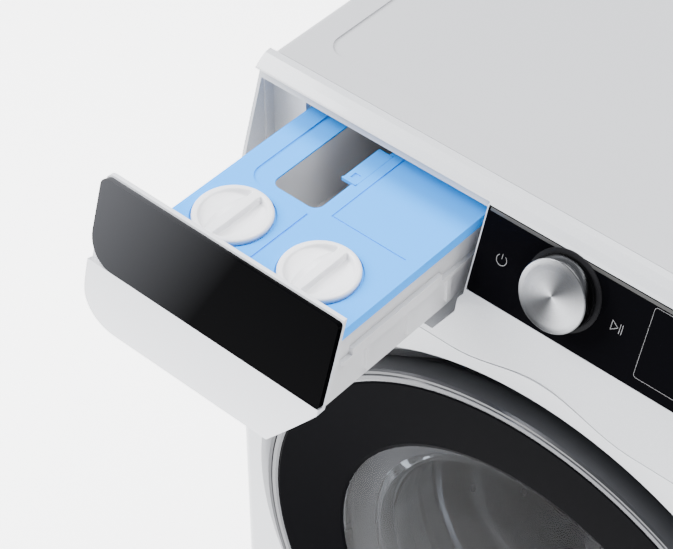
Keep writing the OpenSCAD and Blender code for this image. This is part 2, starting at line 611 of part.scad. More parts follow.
module tub_rear() {
  flange = tub_r + 9;
  y0 = tub_split + 0.1;
  wall_y = tub_end - 8;
  hub_r = 42;
  bore = 31.05;
  color("#c1c3c5") difference() {
    union() {
      turned([[tub_r - tub_wall, y0], [flange, y0], [flange, y0 + 8], [tub_r, y0 + 8], [tub_r, tub_end],
        [0, tub_end], [0, wall_y], [tub_r - tub_wall, wall_y]], drum_z);
      rod_y(0, drum_z, hub_r, tub_end - hub_len + 22, tub_end + 16);
      for (a = [0:30:330]) rotate_about_drum(a)
        block(-2, 2, tub_end - 1, tub_end + 10, drum_z + hub_r - 3, drum_z + tub_r - 12);
      for (x = [-1, 1]) translate([x * 200, spring_y, 0]) {
        block(-8, 8, -5, 5, drum_z + 160, drum_z + 218);
      }
      for (x = [-1, 1]) 
        block(x * 118 - 9, x * 118 + 9, damper_y - 11, damper_y + 11, drum_z - tub_r - 12,
          drum_z - tub_r + 40);
    }
    turned([[0, y0 - 5], [tub_r - tub_wall, y0 - 5], [tub_r - tub_wall, wall_y], [hub_r + 2, wall_y],
      [0, wall_y]], drum_z);
    rod_y(0, drum_z, bore, wall_y - 20, tub_end - 1);
    rod_y(0, drum_z, 26, tub_end - 3, tub_end + 3);
    rod_y(0, drum_z, bore, tub_end + 1.5, tub_end + 30);
    for (x = [-1, 1]) rod_y(x * 200, drum_z + 208, 3.4, spring_y - 24, spring_y + 16);
    for (a = [15:30:345]) rotate_about_drum(a) rod_y(tub_r + 4.5, drum_z, 2.5, y0 - 1, y0 + 9);
    rod_z(sump_at[0], sump_at[1], 17, drum_z - tub_r - 20, drum_z - 200);
  }
  color("#c1c3c5") difference() {
    rod_z(sump_at[0], sump_at[1], 21, drum_z - tub_r - 16, drum_z - tub_r + 10);
    rod_z(sump_at[0], sump_at[1], 17, drum_z - tub_r - 20, drum_z - tub_r + 20);
    turned([[0, 0], [tub_r - 0.5, 0], [tub_r - 0.5, 90], [0, 90]], drum_z);
  }
}
bearing_rows = [[tub_end - 8, 7], [tub_end + 1.6, 14.2]];
module tub_bearings() {
  color("#c8cacc") for (b = bearing_rows) difference() {
    rod_y(0, drum_z, 31, b[0], b[0] + b[1]);
    rod_y(0, drum_z, shaft_r + run_gap, b[0] - 1, b[0] + b[1] + 1);
  }
}
module heater() {
  y0 = tub_y + 48;
  z = drum_z - (drum_r + tub_r - tub_wall) / 2;
  color("#9a9ca0") {
    for (x = [-28, 28]) rod_y(x, z + 1.6, 3.4, y0, y0 + 180);
    block(-28, 28, y0 + 176.5, y0 + 183.3, z - 1.8, z + 5);
  }
}
module counterweight_front() {
  color("#9d9c98") difference() {
    turned([[port_tub + 36, tub_y - 30], [tub_r - 12, tub_y - 30], [tub_r - 12, tub_y - 0.6],
            [tub_r - 40, tub_y - 0.6], [port_tub + 36, tub_y - 0.6]], drum_z);
    block(-400, 400, -400, 400, drum_z - 60, drum_z + 60);
    block(-400, 400, -400, 400, drum_z - 60, drum_z + 500);
  }
}
module counterweight_top() {
  color("#9d9c98") difference() {
    block(-60, 130, tub_split + 20, tub_split + 150, drum_z + 200, drum_z + tub_r + 46);
    turned([[0, -200], [tub_r + 9.6, -200], [tub_r + 9.6, tub_split + 9], [tub_r + 0.6, tub_split + 9],
            [tub_r + 0.6, 300], [0, 300]], drum_z);
  }
}
module suspension_springs() {
  turns = 9;
  z0 = drum_z + 226;
  z1 = body_h - 80;
  color("#8d9094") for (x = [-1, 1]) {
    tube([for (i = [0:72]) [x * 200 + 11 * cos(360 * turns * i / 72),
      spring_y + 11 * sin(360 * turns * i / 72),
          z0 + (z1 - z0) * i / 72]], 1.8, 8);
    rod_z(x * 200, spring_y, 3, drum_z + 219, z0 + 3);
    block(x * 200 - 12, x * 200 + 12, spring_y - 1.5, spring_y + 1.5, z0 - 3, z0 + 3);
    rod_z(x * 200, spring_y, 3, z1 - 3, body_h - 64.1);
    block(x * 200 - 12, x * 200 + 12, spring_y - 1.5, spring_y + 1.5, z1 - 3, z1 + 3);
  }
}
damper_foot = floor_gap + 2 + 10;
module damper_line(x, s0, s1, r) {
  a = [x * 118, damper_y, drum_z - tub_r - 14];
  b = [x * 190, damper_y, damper_foot];
  d = unit(b - a);
  translate(a + d * s0) rotate([0, x * acos(d[2] / norm(d)), 0]) cylinder(r = r, h = s1 - s0);
}
module damper_cylinders() {
  color("#55585c") for (x = [-1, 1]) difference() {
    union() {
      damper_line(x, 62, 136, 13);
      block(x * 190 - 16, x * 190 + 16, damper_y - 11, damper_y + 11, floor_gap + 2, floor_gap + 14);
    }
    damper_line(x, 60, 128, 6.4);
  }
}
module damper_rods() {
  color("#c8cacc") for (x = [-1, 1]) damper_line(x, 3, 104, 6);
}
module motor() {
  x = motor_at[0];
  z = motor_at[1];
  color("#5b5e62") {
    difference() {
      union() {
        rod_y(x, z, 52, tub_end - 140, tub_end - 20);
        for (a = [0:45:315]) translate([x, 0, z]) rotate([0, a, 0]) block(-2, 2, tub_end - 134,
          tub_end - 26, 50, 56);
      }
      rod_y(x, z, 9, tub_end - 25, tub_end - 10);
      rod_y(x, z, 6 + run_gap, tub_end - 70, tub_end - 10);
    }
    block(x - 62, x + 62, tub_end - 110, tub_end - 50, floor_gap + 2, floor_gap + 6);
    for (dx = [-46, 40]) block(x + dx, x + dx + 6, tub_end - 104, tub_end - 56, floor_gap + 6, z - 30);
  }
}
module motor_pulley() {
  x = motor_at[0];
  z = motor_at[1];
  color("#c8cacc") {
    rod_y(x, z, 6, tub_end - 66, belt_y + belt_w / 2 + 2);
    turned(concat([[0, belt_y - 9], [13, belt_y - 9], [motor_pulley_r, belt_y - 7.4]],
      [[motor_pulley_r, belt_y + 7.4], [13, belt_y + 9], [0, belt_y + 9]]), z, x);
  }
}
module belt_outline(extra) {
  hull() {
    translate([0, drum_z]) circle(r = pulley_r + extra);
    translate(motor_at) circle(r = motor_pulley_r + extra);
  }
}
module drive_belt() {
  color("#232425") front_slab(belt_y - belt_w / 2 + 1, belt_y + belt_w / 2 - 1) difference() {
    belt_outline(belt_gap + 3);
    belt_outline(belt_gap);
  }
}
module drain_pump() {
  x = filter_at[0];
  z = filter_at[1];
  color("#d8d9d7") difference() {
    union() {
      rod_y(x, z, 32, front_y + 30, front_y + 104);
      rod_y(x, z, 36, front_y + 26, front_y + 34);
      block(x - 20, x + 20, front_y + 40, front_y + 100, floor_gap + 2, z - 24);
      translate([x, front_y + 80, z]) rotate([0, 90, 0]) cylinder(r = 16, h = 50);
    }
    rod_y(x, z, 27, front_y + 20, front_y + 96);
    translate([x + 24, front_y + 80, z]) rotate([0, 90, 0]) cylinder(r = 13, h = 40);
  }
  color("#3b3d40") rod_y(x, z, 24, front_y + 104, front_y + 150);
}
module pump_filter() {
  x = filter_at[0];
  z = filter_at[1];
  color("#5f8fbf") {
    rod_y(x, z, 26.6, front_y + 26, front_y + 40);
    rod_y(x, z, 34, front_y + 20, front_y + 25.6);
    block(x - 24, x + 24, front_y + 11, front_y + 20.5, z - 4, z + 4);
    difference() {
      rod_y(x, z, 20, front_y + 38, front_y + 78);
      rod_y(x, z, 17, front_y + 42, front_y + 90);
      for (a = [0:60:120]) translate([x, 0, z]) rotate([0, a, 0])
        block(-30, 30, front_y + 46, front_y + 72, -3, 3);
    }
  }
}
// A hose's route from a to b, which leaves each end straight along its own direction
function hose_route(a, da, b, db, reach) =
  concat([a], bezier(a + da * 8, a + da * reach, b + db * reach, b + db * 8, 22), [b]);
// Fill hose from the valve to the dispenser, and sump hose from the tub to the pump
module hoses() {
  y = rear_wall_y - sheet - 62;
  x = filter_at[0] + 50;
  color("#3b3b3d") {
    tube(hose_route([inlet[0], y - gap, inlet[1] - 15], [0, -1, 0],
      [tray_mid + 30, house[3] + gap, house[4] + 36],
      [0, 1, 0], 90), 8);
    tube(hose_route([x + gap, front_y + 80, filter_at[1]], [1, 0, 0],
      [sump_at[0], sump_at[1], drum_z - tub_r - 16 - gap], [0, 0, -1], 52), 14);
  }
}
module levelling_feet() {
  color("#3a3b3e") for (x = [-1, 1], y = [-1, 1]) translate([x * (half_w - 45), y * (body_d / 2 - 50), 0]) {
    rotate_extrude() polygon([[0, 0], [22, 0], [23, 2], [23, 7], [18, 11], [0, 11]]);
    translate([0, 0, 10]) cylinder(r = 5, h = 34);
    translate([0, 0, 11]) cylinder(r = 10, h = floor_gap - 11 - 0.1, $fn = 6);
  }
}
module panel_screws() {
  color("#6d7074") {
    for (p = cover_screws()) {
      rod_y(p[0], p[1], 4.5, rear_y, rear_y + 2.4);
      rod_y(p[0], p[1], 1.9, rear_wall_y - sheet - 6, rear_y + 1);
    }
    for (z = [-1, 1]) {
      rod_y(bracket_x, door_z + z * 12, 4, floor_y - 5, floor_y - 3);
      rod_y(bracket_x, door_z + z * 12, 1.9, floor_y - 4, floor_y + 8);
    }
    difference() {
      rod_y(bay_screw[0], bay_screw[1], 4.4, fascia_back - 3.4, fascia_back - 1);
      block(bay_screw[0] - 0.7, bay_screw[0] + 0.7, fascia_back - 4, fascia_back - 2.2, bay_screw[1] - 3.5,
            bay_screw[1] + 3.5);
      block(bay_screw[0] - 3.5, bay_screw[0] + 3.5, fascia_back - 4, fascia_back - 2.2, bay_screw[1] - 0.7,
            bay_screw[1] + 0.7);
    }
    rod_y(bay_screw[0], bay_screw[1], 1.7, fascia_back - 2, bulkhead_y + 0.2);
  }
}
module transit_caps() {
  color("#c9cbce") for (x = [-1, 1], z = [230, 560]) {
    rod_y(x * (half_w - 45), z, 13, rear_wall_y, rear_y + 1.5);
    rod_y(x * (half_w - 45), z, 8.7, rear_wall_y - sheet - 4, rear_wall_y + 1);
  }
}

// --- drum ------------------------------------------------------------------
module drum_shell() {
  t = 1.6;
  mouth = port_tub - 6;
  color("#c4c6c9") difference() {
    turned([[drum_r, drum_y + 12], [drum_r, drum_end], [0, drum_end], [0, drum_end - t],
      [drum_r - t, drum_end - t],
      [drum_r - t, drum_y + 13], [drum_r - 14, drum_y + t], [mouth, drum_y + t],
        [mouth - 3, drum_y + t + 4],
      [mouth - 5, drum_y + 4], [mouth - 2, drum_y], [drum_r - 14, drum_y]], drum_z);
    for (row = [0:4], i = [0:17])
      rotate_about_drum(i * 20 + (row % 2) * 10 + 4) rod_up(drum_y + 50 + row * 52, 4);
  }
}
module rod_up(y, r) { translate([0, y, drum_z + drum_r - 10]) cylinder(r = r, h = 20, $fn = 24); }
module drum_lifters() {
  r = drum_r - 1.6;
  color("#8f9193") for (a = [60:120:300]) rotate_about_drum(a) difference() {
    front_slab(drum_y + 36, drum_end - 30) polygon([[-26, drum_z + r + 2], [-17, drum_z + r - 16],
      [-10, drum_z + r - 38], [-5, drum_z + r - 46], [5, drum_z + r - 46], [10, drum_z + r - 38],
      [17, drum_z + r - 16], [26, drum_z + r + 2]]);
    turned([[r - 0.1, drum_y], [r + 30, drum_y], [r + 30, drum_end], [r - 0.1, drum_end]], drum_z);
  }
}
module drum_spider() {
  y = drum_end + 0.1;
  color("#a9acb0") {
    rod_y(0, drum_z, 34, y, y + 12);
    rod_y(0, drum_z, shaft_r, y + 10, belt_y + 14);
    for (a = [0:120:240]) rotate_about_drum(a)
      block(-14, 14, y, y + 9, drum_z + 20, drum_z + drum_r - 12);
  }
}
module drum_pulley() {
  inner = pulley_r - 12;
  color("#b9bcc0") {
    difference() {
      turned([[0, belt_y - 8], [30, belt_y - 8], [30, belt_y - 3], [inner, belt_y - 3], [inner, belt_y - 8],
        [pulley_r + 2, belt_y - 8], [pulley_r, belt_y - 6.6], [pulley_r, belt_y + 6.6],
        [pulley_r + 2, belt_y + 8], [inner, belt_y + 8], [inner, belt_y + 3], [30, belt_y + 3],
        [30, belt_y + 8], [0, belt_y + 8]], drum_z);
      rod_y(0, drum_z, shaft_r + 0.1, belt_y - 20, belt_y + 20);
      for (a = [0:60:300]) rotate_about_drum(a) rod_y(78, drum_z, 30, belt_y - 20, belt_y + 20);
    }
    rod_y(0, drum_z, 12, belt_y + 14.1, belt_y + 20);
  }
}

// --- door ------------------------------------------------------------------
// Slope of the back of the black cover along the hinge, which leaves a thin skin in front of the arms
function cover_face(r) = front_y - 1 - (rim_out - 2 + 1) * (r - window_r - 3)
  / (rim_r - rim_wall - bezel_w - window_r - 5);
hinge_room = [[-rim_r + rim_wall + bezel_w + 2, cover_face(hinge_x) + 1.1],
  [-hinge_x, cover_face(hinge_x) + 1.1],
  [-205, cover_face(205) + 1.1], [-190, cover_face(190) + 1.1], [-190, front_y + 20],
  [-rim_r + rim_wall + bezel_w + 2, front_y + 20]];
// Room that the arms sweep through the rim's wall as the door opens
module hinge_notch() {
  block(-rim_r - 5, -rim_r + 30, hinge_at[1] - 1, floor_y, door_z - hinge_half, door_z + hinge_half);
}
module door_frame() {
  outer = rim_r - 20;
  color("#d5d6d9") {
    difference() {
      turned([[outer, rim_back_y], [outer, frame_back_y], [bowl_r + 8, frame_back_y],
        [bowl_r + 8, rim_back_y + 6],
        [outer - 24, rim_back_y + 6], [outer - 24, rim_back_y]], door_z);
      block(-rim_r, -188, front_y, floor_y, door_z - hinge_half - 8, door_z + hinge_half + 8);
      block(lock_x - 14, lock_x + 14, frame_back_y - 9, floor_y, door_z - 14, door_z + 14);
    }
    // knuckle block between and beyond the two arms, which holds the hinge pin
    difference() {
      union() {
        translate([0, 0, door_z - 26]) linear_extrude(52) polygon([[-hinge_x - 4, hinge_at[1] - 3.7],
          [-hinge_x + 4, hinge_at[1] - 3.7], [-205, cover_face(205) + 2.4], [-205, rim_back_y + 0.5],
          [-hinge_x - 4, rim_back_y + 0.5]]);
        block(-206, -187, rim_back_y - 1, rim_back_y + 8, door_z - 26, door_z + 26);
      }
      rod_z(hinge_at[0], hinge_at[1], hinge_pin_r, 0, body_h);
    }
  }
}
module door_rim() {
  inner = rim_r - rim_wall;
  color("#3e3f42") difference() {
    turned([[inner, rim_back_y], [rim_r, rim_back_y - 2], [rim_r, rim_y + 2], [rim_r - 1.2, rim_y],
      [inner, rim_y + 0.6]], door_z);
    hinge_notch();
  }
}
module door_bezel() {
  inner = rim_r - rim_wall;
  color("#8a8b8e") turned([[inner, rim_y + 2.2], [inner, rim_y + 6], [inner - bezel_w, rim_y + 6],
    [inner - bezel_w, rim_y + 1.2], [inner - bezel_w + 2, rim_y + 0.2],
      [inner - 1.5, rim_y + 0.2]], door_z);
}
module door_cover() {
  outer = rim_r - rim_wall;
  edge = outer - bezel_w;
  color("#0b0b0d") difference() {
    turned([[outer, rim_back_y], [outer, rim_y + 6.1], [edge - 0.1, rim_y + 6.1], [edge - 0.1, rim_y + 1.6],
      [edge - 2, rim_y + 1], [window_r + 3, front_y - 1], [window_r, front_y], [window_r, front_y + 3],
      [edge - 6, rim_y + 5], [edge - 4, rim_y + 9.5], [outer - 3, rim_y + 9.5],
        [outer - 3, rim_back_y]], door_z);
    hinge_notch();
    translate([0, 0, door_z - hinge_half - 2]) linear_extrude(2 * hinge_half + 4) polygon(hinge_room);
  }
}
module door_window() {
  color("#9aa3ab", 0.4) turned([[0, front_y - 6], [60, front_y - 5.5], [120, front_y - 3.6],
    [window_r - 0.1, front_y],
    [window_r - 0.1, front_y + 3], [window_r + 6, front_y + 2.8], [window_r + 6, front_y + 5],
    [window_r - 3, front_y + 6], [120, front_y - 0.2], [60, front_y - 2], [0, front_y - 2.5]], door_z);
}
module door_bowl() {
  y0 = rim_back_y + 6.1;
  base = bowl_r + 7.9;
  y1 = frame_back_y + bowl_d;
  t = 5;
  color("#b9c4cc", 0.4) turned(concat([[base, y0], [base, y0 + 8], [bowl_r, y0 + 14],
    [bowl_r - 4, y1 - 40]],
    arc([bowl_r - 30, y1 - 22], 22, 20, 90, 6), [[0, y1 - 8], [0, y1 - 8 - t], [bowl_r - 32, y1 - t]],
    arc([bowl_r - 31, y1 - 22], 17, 90, 20, 6), [[bowl_r - 4 - t, y1 - 41], [bowl_r - t, y0 + 12],
    [base - 7, y0]]), door_z);
}
hook_at = [lock_x - 4, frame_back_y - 5];
module door_hook() {
  h = hook_at;
  color("#c8cacc") difference() {
    translate([0, 0, door_z - 9]) linear_extrude(18) union() {
      translate(h) circle(r = 3.9);
      polygon([[h[0] - 3, h[1]], [h[0] + 3, h[1]], [h[0] + 3, h[1] + 16], [h[0] + 9, h[1] + 16],
        [h[0] + 6, h[1] + 22], [h[0] - 1, h[1] + 25], [h[0] - 3, h[1] + 22]]);
    }
    rod_z(h[0], h[1], 1.5, 0, body_h);
  }
}

// --- drawer, drawn closed and then pulled out ------------------------------
closed_front = tray_front_y + drawer_pull;
closed_back = tray_back_y + drawer_pull;
// Side outline of the drawer's front between two depths behind the face
function sheet_outline(z0, z1, d0, d1) = let (back = face(z0, z1, d1, 18))
  concat(face(z0, z1, d0, 18), [for (i = [len(back) - 1:-1:0]) back[i]]);
module drawer_front() {
  z0 = seam_z + 2;
  color("#eef0f3") drawn_out() {
    difference() {
      intersection() {
        side_slab(-half_w, drawer_right, sheet_outline(z0, glass_top_z, 0, drawer_front_t));
        front_slab(front_y - 20, bulkhead_y) polygon(concat(
          arc([-half_w + 30, z0 + 30], 30, 180, 270), [[drawer_right - 41, z0],
            [drawer_right, glass_z - 4.6]],
          [[drawer_right, glass_top_z]], arc([-half_w + 7, glass_top_z - 7], 7, 90, 180, 6)));
      }
      on_glass() block(-half_w - 5, 0, -30, glass_t + 0.05, -0.05, glass_len + 30);
    }
    // the fins and the bridge that join the front to the tray
    block(tray_left + 6, tray_right - 6, face_y(glass_z) + drawer_front_t - 1.5, closed_front,
      tray_z + 4, tray_z + 8);
    for (x = [tray_left + 6, tray_mid, tray_right - 9])
      side_slab(x, x + 3, [[face_y(seam_z + 40) + drawer_front_t - 2, tray_z + 4],
        [closed_front, tray_z + 4],
        [closed_front, lid_z - 14], [face_y(lid_z - 14) + drawer_front_t - 2, lid_z - 14]]);
  }
}
module drawer_panel() {
  color("#101012") drawn_out() on_glass() front_slab(0, glass_t)
    rounded(-half_w, drawer_right, 0, glass_len, [24, 3, 3, 7]);
}
module tray_cavity(x0, x1, y0, y1, z0) {
  translate([0, 0, z0]) linear_extrude(80) rounded(x0, x1, y0, y1, [7, 7, 7, 7]);
}
module drawer_tray() {
  x0 = tray_left + 2;
  x1 = tray_right - 4;
  top = lid_z - lid_rim;
  wx = [well[0] - 3, well[1] + 3];
  wy = [well[2] - 3, well[3] + 3];
  color("#f0f0ee") difference() {
    union() {
      block(x0, x1, tray_front_y + gap, tray_back_y, tray_z, top);
      // guide rail, steps and stop along the right side
      block(x1 - 1, x1 + 3.4, tray_front_y + 14, tray_back_y - 4, tray_z + 30, tray_z + 34);
      block(x1 - 1, x1 + 3.4, tray_front_y + 24, tray_front_y + 120, tray_z + 34, tray_z + 40);
      for (i = [0:3]) block(x1 - 1, x1 + 2.6, tray_front_y + 40 + i * 44, tray_front_y + 44 + i * 44,
                            tray_z + 6, tray_z + 30.5);
      block(x0 - 3.2, x0 + 1, tray_front_y + 14, tray_back_y - 4, tray_z + 30, tray_z + 34);
      // upstand around the manual compartment
      linear_extrude(lid_z - lid_t - 0.6) rounded(wx[0], wx[1], wy[0], wy[1], [9, 9, 9, 9]);
    }
    tray_cavity(x0 + 2.4, split_x - 1, tray_front_y + 3, well[2] - 6, tray_z + 3);
    tray_cavity(split_x + 6, x1 - 2.4, tray_front_y + 3, tray_back_y - 3, tray_z + 3);
    tray_cavity(well[0], well[1], well[2], well[3], tray_z + 9);
    // outlet of the manual compartment, low in its back wall
    block(well[0] + 8, well[1] - 8, well[3] - 5, tray_back_y + 5, tray_z + 9, tray_z + 20);
    // room for the release lever to be pressed down
    block(split_x - 8, split_x + 7, well[2] + 35, well[2] + 82, lid_z - 9, lid_z);
    block(x0 - 10, x1 + 10, tray_front_y - 10, tray_back_y + 10, 0, tray_z);
  }
}
module lid_plate(z0, z1, inset) {
  translate([0, 0, z0]) linear_extrude(z1 - z0)
    rounded(tray_left + inset, tray_right - inset, tray_front_y + inset, tray_back_y - inset, [4, 4, 4, 4]);
}
module drawer_lid() {
  bevel = 4;
  color("#9ccbf2") difference() {
    lid_plate(lid_z - lid_rim + 0.1, lid_z, 0);
    difference() {
      lid_plate(lid_z - lid_rim - 1, lid_z - lid_t, 1.8);
      for (c = caps_at) rod_z(c[0], c[1], neck_r + 2, 0, body_h);
    }
    for (c = caps_at) {
      rod_z(c[0], c[1], neck_r, 0, body_h);
      rod_z(c[0], c[1], cap_r + 1.6, lid_z - 1.2, body_h);
    }
    // manual compartment: an opening with a sunk border, open to the front of the well
    linear_extrude(body_h) rounded(well[0], well[1], well[2], well[3], [8, 8, 8, 8]);
    translate([0, 0, lid_z - 1]) linear_extrude(20)
      rounded(well[0] - 18, well[1] + 1, well[2] - 7, tray_back_y - 6, [14, 2, 8, 8]);
    // groove between the halves, and the stepped border on the right half
    block(split_x - 0.8, split_x + 0.8, tray_front_y + 1, well[2] - 6, lid_z - 1, lid_z + 1);
    block(split_x + 14, split_x + 15.2, well[2] + 2, tray_back_y - 6, lid_z - 0.8, lid_z + 1);
    block(split_x + 14, tray_right - 12, well[2] + 2, well[2] + 3.2, lid_z - 0.8, lid_z + 1);
    // seat of the release lever
    block(split_x - 7.6, split_x + 6.4, well[2] + 37, well[2] + 80, 0, body_h);
  }
}
module filler_cap(c) {
  color("#ededef") translate([c[0], c[1], lid_z - 1.2 + gap]) difference() {
    union() {
      rotate_extrude() polygon([[0, 0], [cap_r, 0], [cap_r, 3.4], [cap_r - 1, 4.8], [cap_r - 2.4, 5.2],
        [0, 5.2]]);
      translate([0, 0, -6]) cylinder(r = neck_r - cap_gap, h = 7);
    }
    for (side = [-1, 1]) intersection() {
      translate([0, 0, 1.2]) cylinder(r = cap_r - 4.5, h = 10);
      translate([side * (cap_r - 1), 0, 0.9 + 27]) sphere(r = 27);
      translate([side > 0 ? 4.2 : -4.2 - cap_r, -cap_r, 0]) cube([cap_r, 2 * cap_r, 20]);
    }
  }
}
module cap_left() { filler_cap(caps_at[0]); }
module cap_right() { filler_cap(caps_at[1]); }
module release_lever() {
  y0 = well[2] + 37 + gap;
  color("#8fc3ee") difference() {
    union() {
      block(split_x - 7.2, split_x + 6, y0, y0 + 42, lid_z - 2.2, lid_z - 0.2);
      block(split_x - 7.2, split_x + 6, y0, y0 + 1.6, lid_z - 1, lid_z + 0.8);
    }
    block(split_x - 3.4, split_x + 2.2, y0 + 5, y0 + 11, lid_z - 1.2, lid_z + 1);
  }
}

base_pan();
cabinet_wrap();
rear_cover();
top_panel();
front_panel();
service_flap();
control_fascia();
control_glass();
display_window();
control_board();
knob_ring();
knob();
dispenser_housing();
dispenser_cover();
inlet_valve();
drain_spigot();
power_gland();
main_board_box();
cross_rail();
door_lock();
hinge_bracket();
hinge_pin();
bellows();
bellows_clamps();
tub_front();
tub_rear();
tub_bearings();
heater();
counterweight_front();
counterweight_top();
suspension_springs();
damper_cylinders();
damper_rods();
motor();
motor_pulley();
drive_belt();
drain_pump();
pump_filter();
hoses();
levelling_feet();
panel_screws();
transit_caps();
drum_shell();
drum_lifters();
drum_spider();
drum_pulley();
door_frame();
door_rim();
door_bezel();
door_cover();
door_window();
door_bowl();
door_hook();
drawer_tray();
drawer_front();
drawer_panel();
drawer_lid();
cap_left();
cap_right();
release_lever();
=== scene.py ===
# %% [markdown]
# A front load washing machine, seen from above its left front corner with the dispenser drawer pulled out.
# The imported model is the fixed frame: cabinet, door, drum and drawer are already where they belong, in metres.
# This lesson gives every one of them a finish, and adds the small pieces that a solid model can't hold well:
# spun metal, moulded caps, printed marks and the soft studio around the machine.

# %% Load the frame
import json
import math

import bpy
import numpy as np
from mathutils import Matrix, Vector


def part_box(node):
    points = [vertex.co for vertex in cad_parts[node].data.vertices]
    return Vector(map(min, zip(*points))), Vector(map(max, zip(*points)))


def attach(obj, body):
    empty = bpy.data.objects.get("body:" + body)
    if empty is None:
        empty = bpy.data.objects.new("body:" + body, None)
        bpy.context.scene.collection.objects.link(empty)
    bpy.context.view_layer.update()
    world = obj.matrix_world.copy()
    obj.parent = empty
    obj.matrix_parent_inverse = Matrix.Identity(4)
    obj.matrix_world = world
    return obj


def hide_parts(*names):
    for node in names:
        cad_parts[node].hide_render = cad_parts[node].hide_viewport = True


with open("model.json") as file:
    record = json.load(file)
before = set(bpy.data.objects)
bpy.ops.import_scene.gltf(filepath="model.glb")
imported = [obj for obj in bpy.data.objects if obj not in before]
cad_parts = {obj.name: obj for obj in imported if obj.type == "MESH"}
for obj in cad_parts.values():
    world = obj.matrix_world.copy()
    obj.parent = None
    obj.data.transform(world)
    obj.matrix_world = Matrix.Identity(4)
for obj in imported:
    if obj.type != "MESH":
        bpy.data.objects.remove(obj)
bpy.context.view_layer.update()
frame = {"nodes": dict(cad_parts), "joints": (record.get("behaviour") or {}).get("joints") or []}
nodes = frame["nodes"]
joints = {j["name"]: j for j in frame["joints"]}

# %% [markdown]
# The camera stands in front and to the right, well above the machine, and looks down at the corner with the
# drawer. A long lens keeps the edges almost parallel. Its direction comes from two angles, the turn about the
# vertical and the tilt down, because those are easier to reason about than a rotation in three numbers.

# %% Camera
EYE = Vector((0.553, -1.1194, 1.834))
TURN = math.radians(41.36)
TILT = math.radians(44.70)
look = Vector((-math.sin(TURN) * math.cos(TILT), math.cos(TURN) * math.cos(TILT), -math.sin(TILT)))
camera = bpy.data.objects.new("camera", bpy.data.cameras.new("camera"))
bpy.context.scene.collection.objects.link(camera)
camera.location = EYE
camera.rotation_euler = look.to_track_quat("-Z", "Y").to_euler()
camera.data.sensor_width = 36
camera.data.lens = 112.72
camera.data.clip_end = 30
bpy.context.scene.camera = camera
print("camera looks along", [round(v, 3) for v in look])

# %% [markdown]
# A product studio is mostly white: a pale floor, a pale surrounding and a few very large soft lights. The glossy
# black parts show whatever stands around them, so the lights are also the pattern that the black door reflects.

# %% Studio
def soft_light(name, where, aim, size, power, tint=(1, 1, 1)):
    """A rectangular area light at one point, turned to face another."""
    light = bpy.data.lights.new(name, "AREA")
    light.shape = "RECTANGLE"
    light.size, light.size_y = size
    light.energy = power
    light.color = tint
    lamp = bpy.data.objects.new(name, light)
    lamp.location = where
    lamp.rotation_euler = (Vector(aim) - Vector(where)).to_track_quat("-Z", "Y").to_euler()
    bpy.context.scene.collection.objects.link(lamp)
    return lamp


world = bpy.data.worlds.new("studio")
world.use_nodes = True
world.node_tree.nodes["Background"].inputs["Color"].default_value = (0.92, 0.94, 1.0, 1)
world.node_tree.nodes["Background"].inputs["Strength"].default_value = 0.72
bpy.context.scene.world = world
soft_light("left_window", (-2.2, -1.4, 2.6), (0, 0, 0.6), (1.6, 2.0), 300)
soft_light("overhead", (0.3, 0.6, 3.2), (0, -0.1, 0.8), (2.4, 1.6), 190)
soft_light("front_fill", (1.9, -2.6, 1.2), (0, -0.2, 0.6), (0.7, 1.6), 46, (0.97, 0.98, 1))

# %% [markdown]
# Meshes made here are grids of points worked out with numpy. One helper turns any grid into a closed mesh: rows
# run along the piece and columns around it, and the faces are the same index pattern for every shape. A grid that
# doesn't join up with itself has a hole at each end, so each hole gets a fan of faces about its middle point. A
# closed shape holds a positive volume only when its faces point outwards, so the sign of the volume says whether
# to turn the faces round.

# %% Mesh helpers
def volume_of(points, quads):
    """Volume inside closed quads: a sixth of the sum of a . (b x c) over their triangles."""
    spread = points - points.mean(0)
    a, b, c, d = (spread[quads[:, k]] for k in range(4))
    return (np.einsum("ij,ij->", a, np.cross(b, c)) + np.einsum("ij,ij->", a, np.cross(c, d))) / 6


def end_fan(ring, middle):
    """Quads that close a ring of an even count: each joins the middle to three neighbours on the ring."""
    start = np.arange(0, len(ring), 2)
    after = ring[(start + 2) % len(ring)]
    return np.stack([np.full(len(start), middle), ring[start], ring[start + 1], after], -1)


def grid_piece(name, points, body, wrap_rows=False):
    """A closed mesh from a (rows, columns, 3) grid whose columns join up, and whose rows do or end in a fan.

    Each quad joins a point to the next row and the next column; faces are turned to make the volume positive.
    """
    rows, cols, _ = points.shape
    r = np.arange(rows if wrap_rows else rows - 1)[:, None]
    c = np.arange(cols)[None, :]
    r2, c2 = (r + 1) % rows, (c + 1) % cols
    quads = np.stack([r * cols + c, r * cols + c2, r2 * cols + c2, r2 * cols + c], -1).reshape(-1, 4)
    flat = points.reshape(-1, 3)
    if not wrap_rows:
        flat = np.concatenate([flat, points[:1].mean(1), points[-1:].mean(1)])
        first, last = np.arange(cols), (rows - 1) * cols + np.arange(cols)
        quads = np.concatenate([quads, end_fan(first, rows * cols)[:, ::-1], end_fan(last, rows * cols + 1)])
    if volume_of(flat, quads) < 0:
        quads = quads[:, ::-1]
    return mesh_piece(name, flat, quads, body)


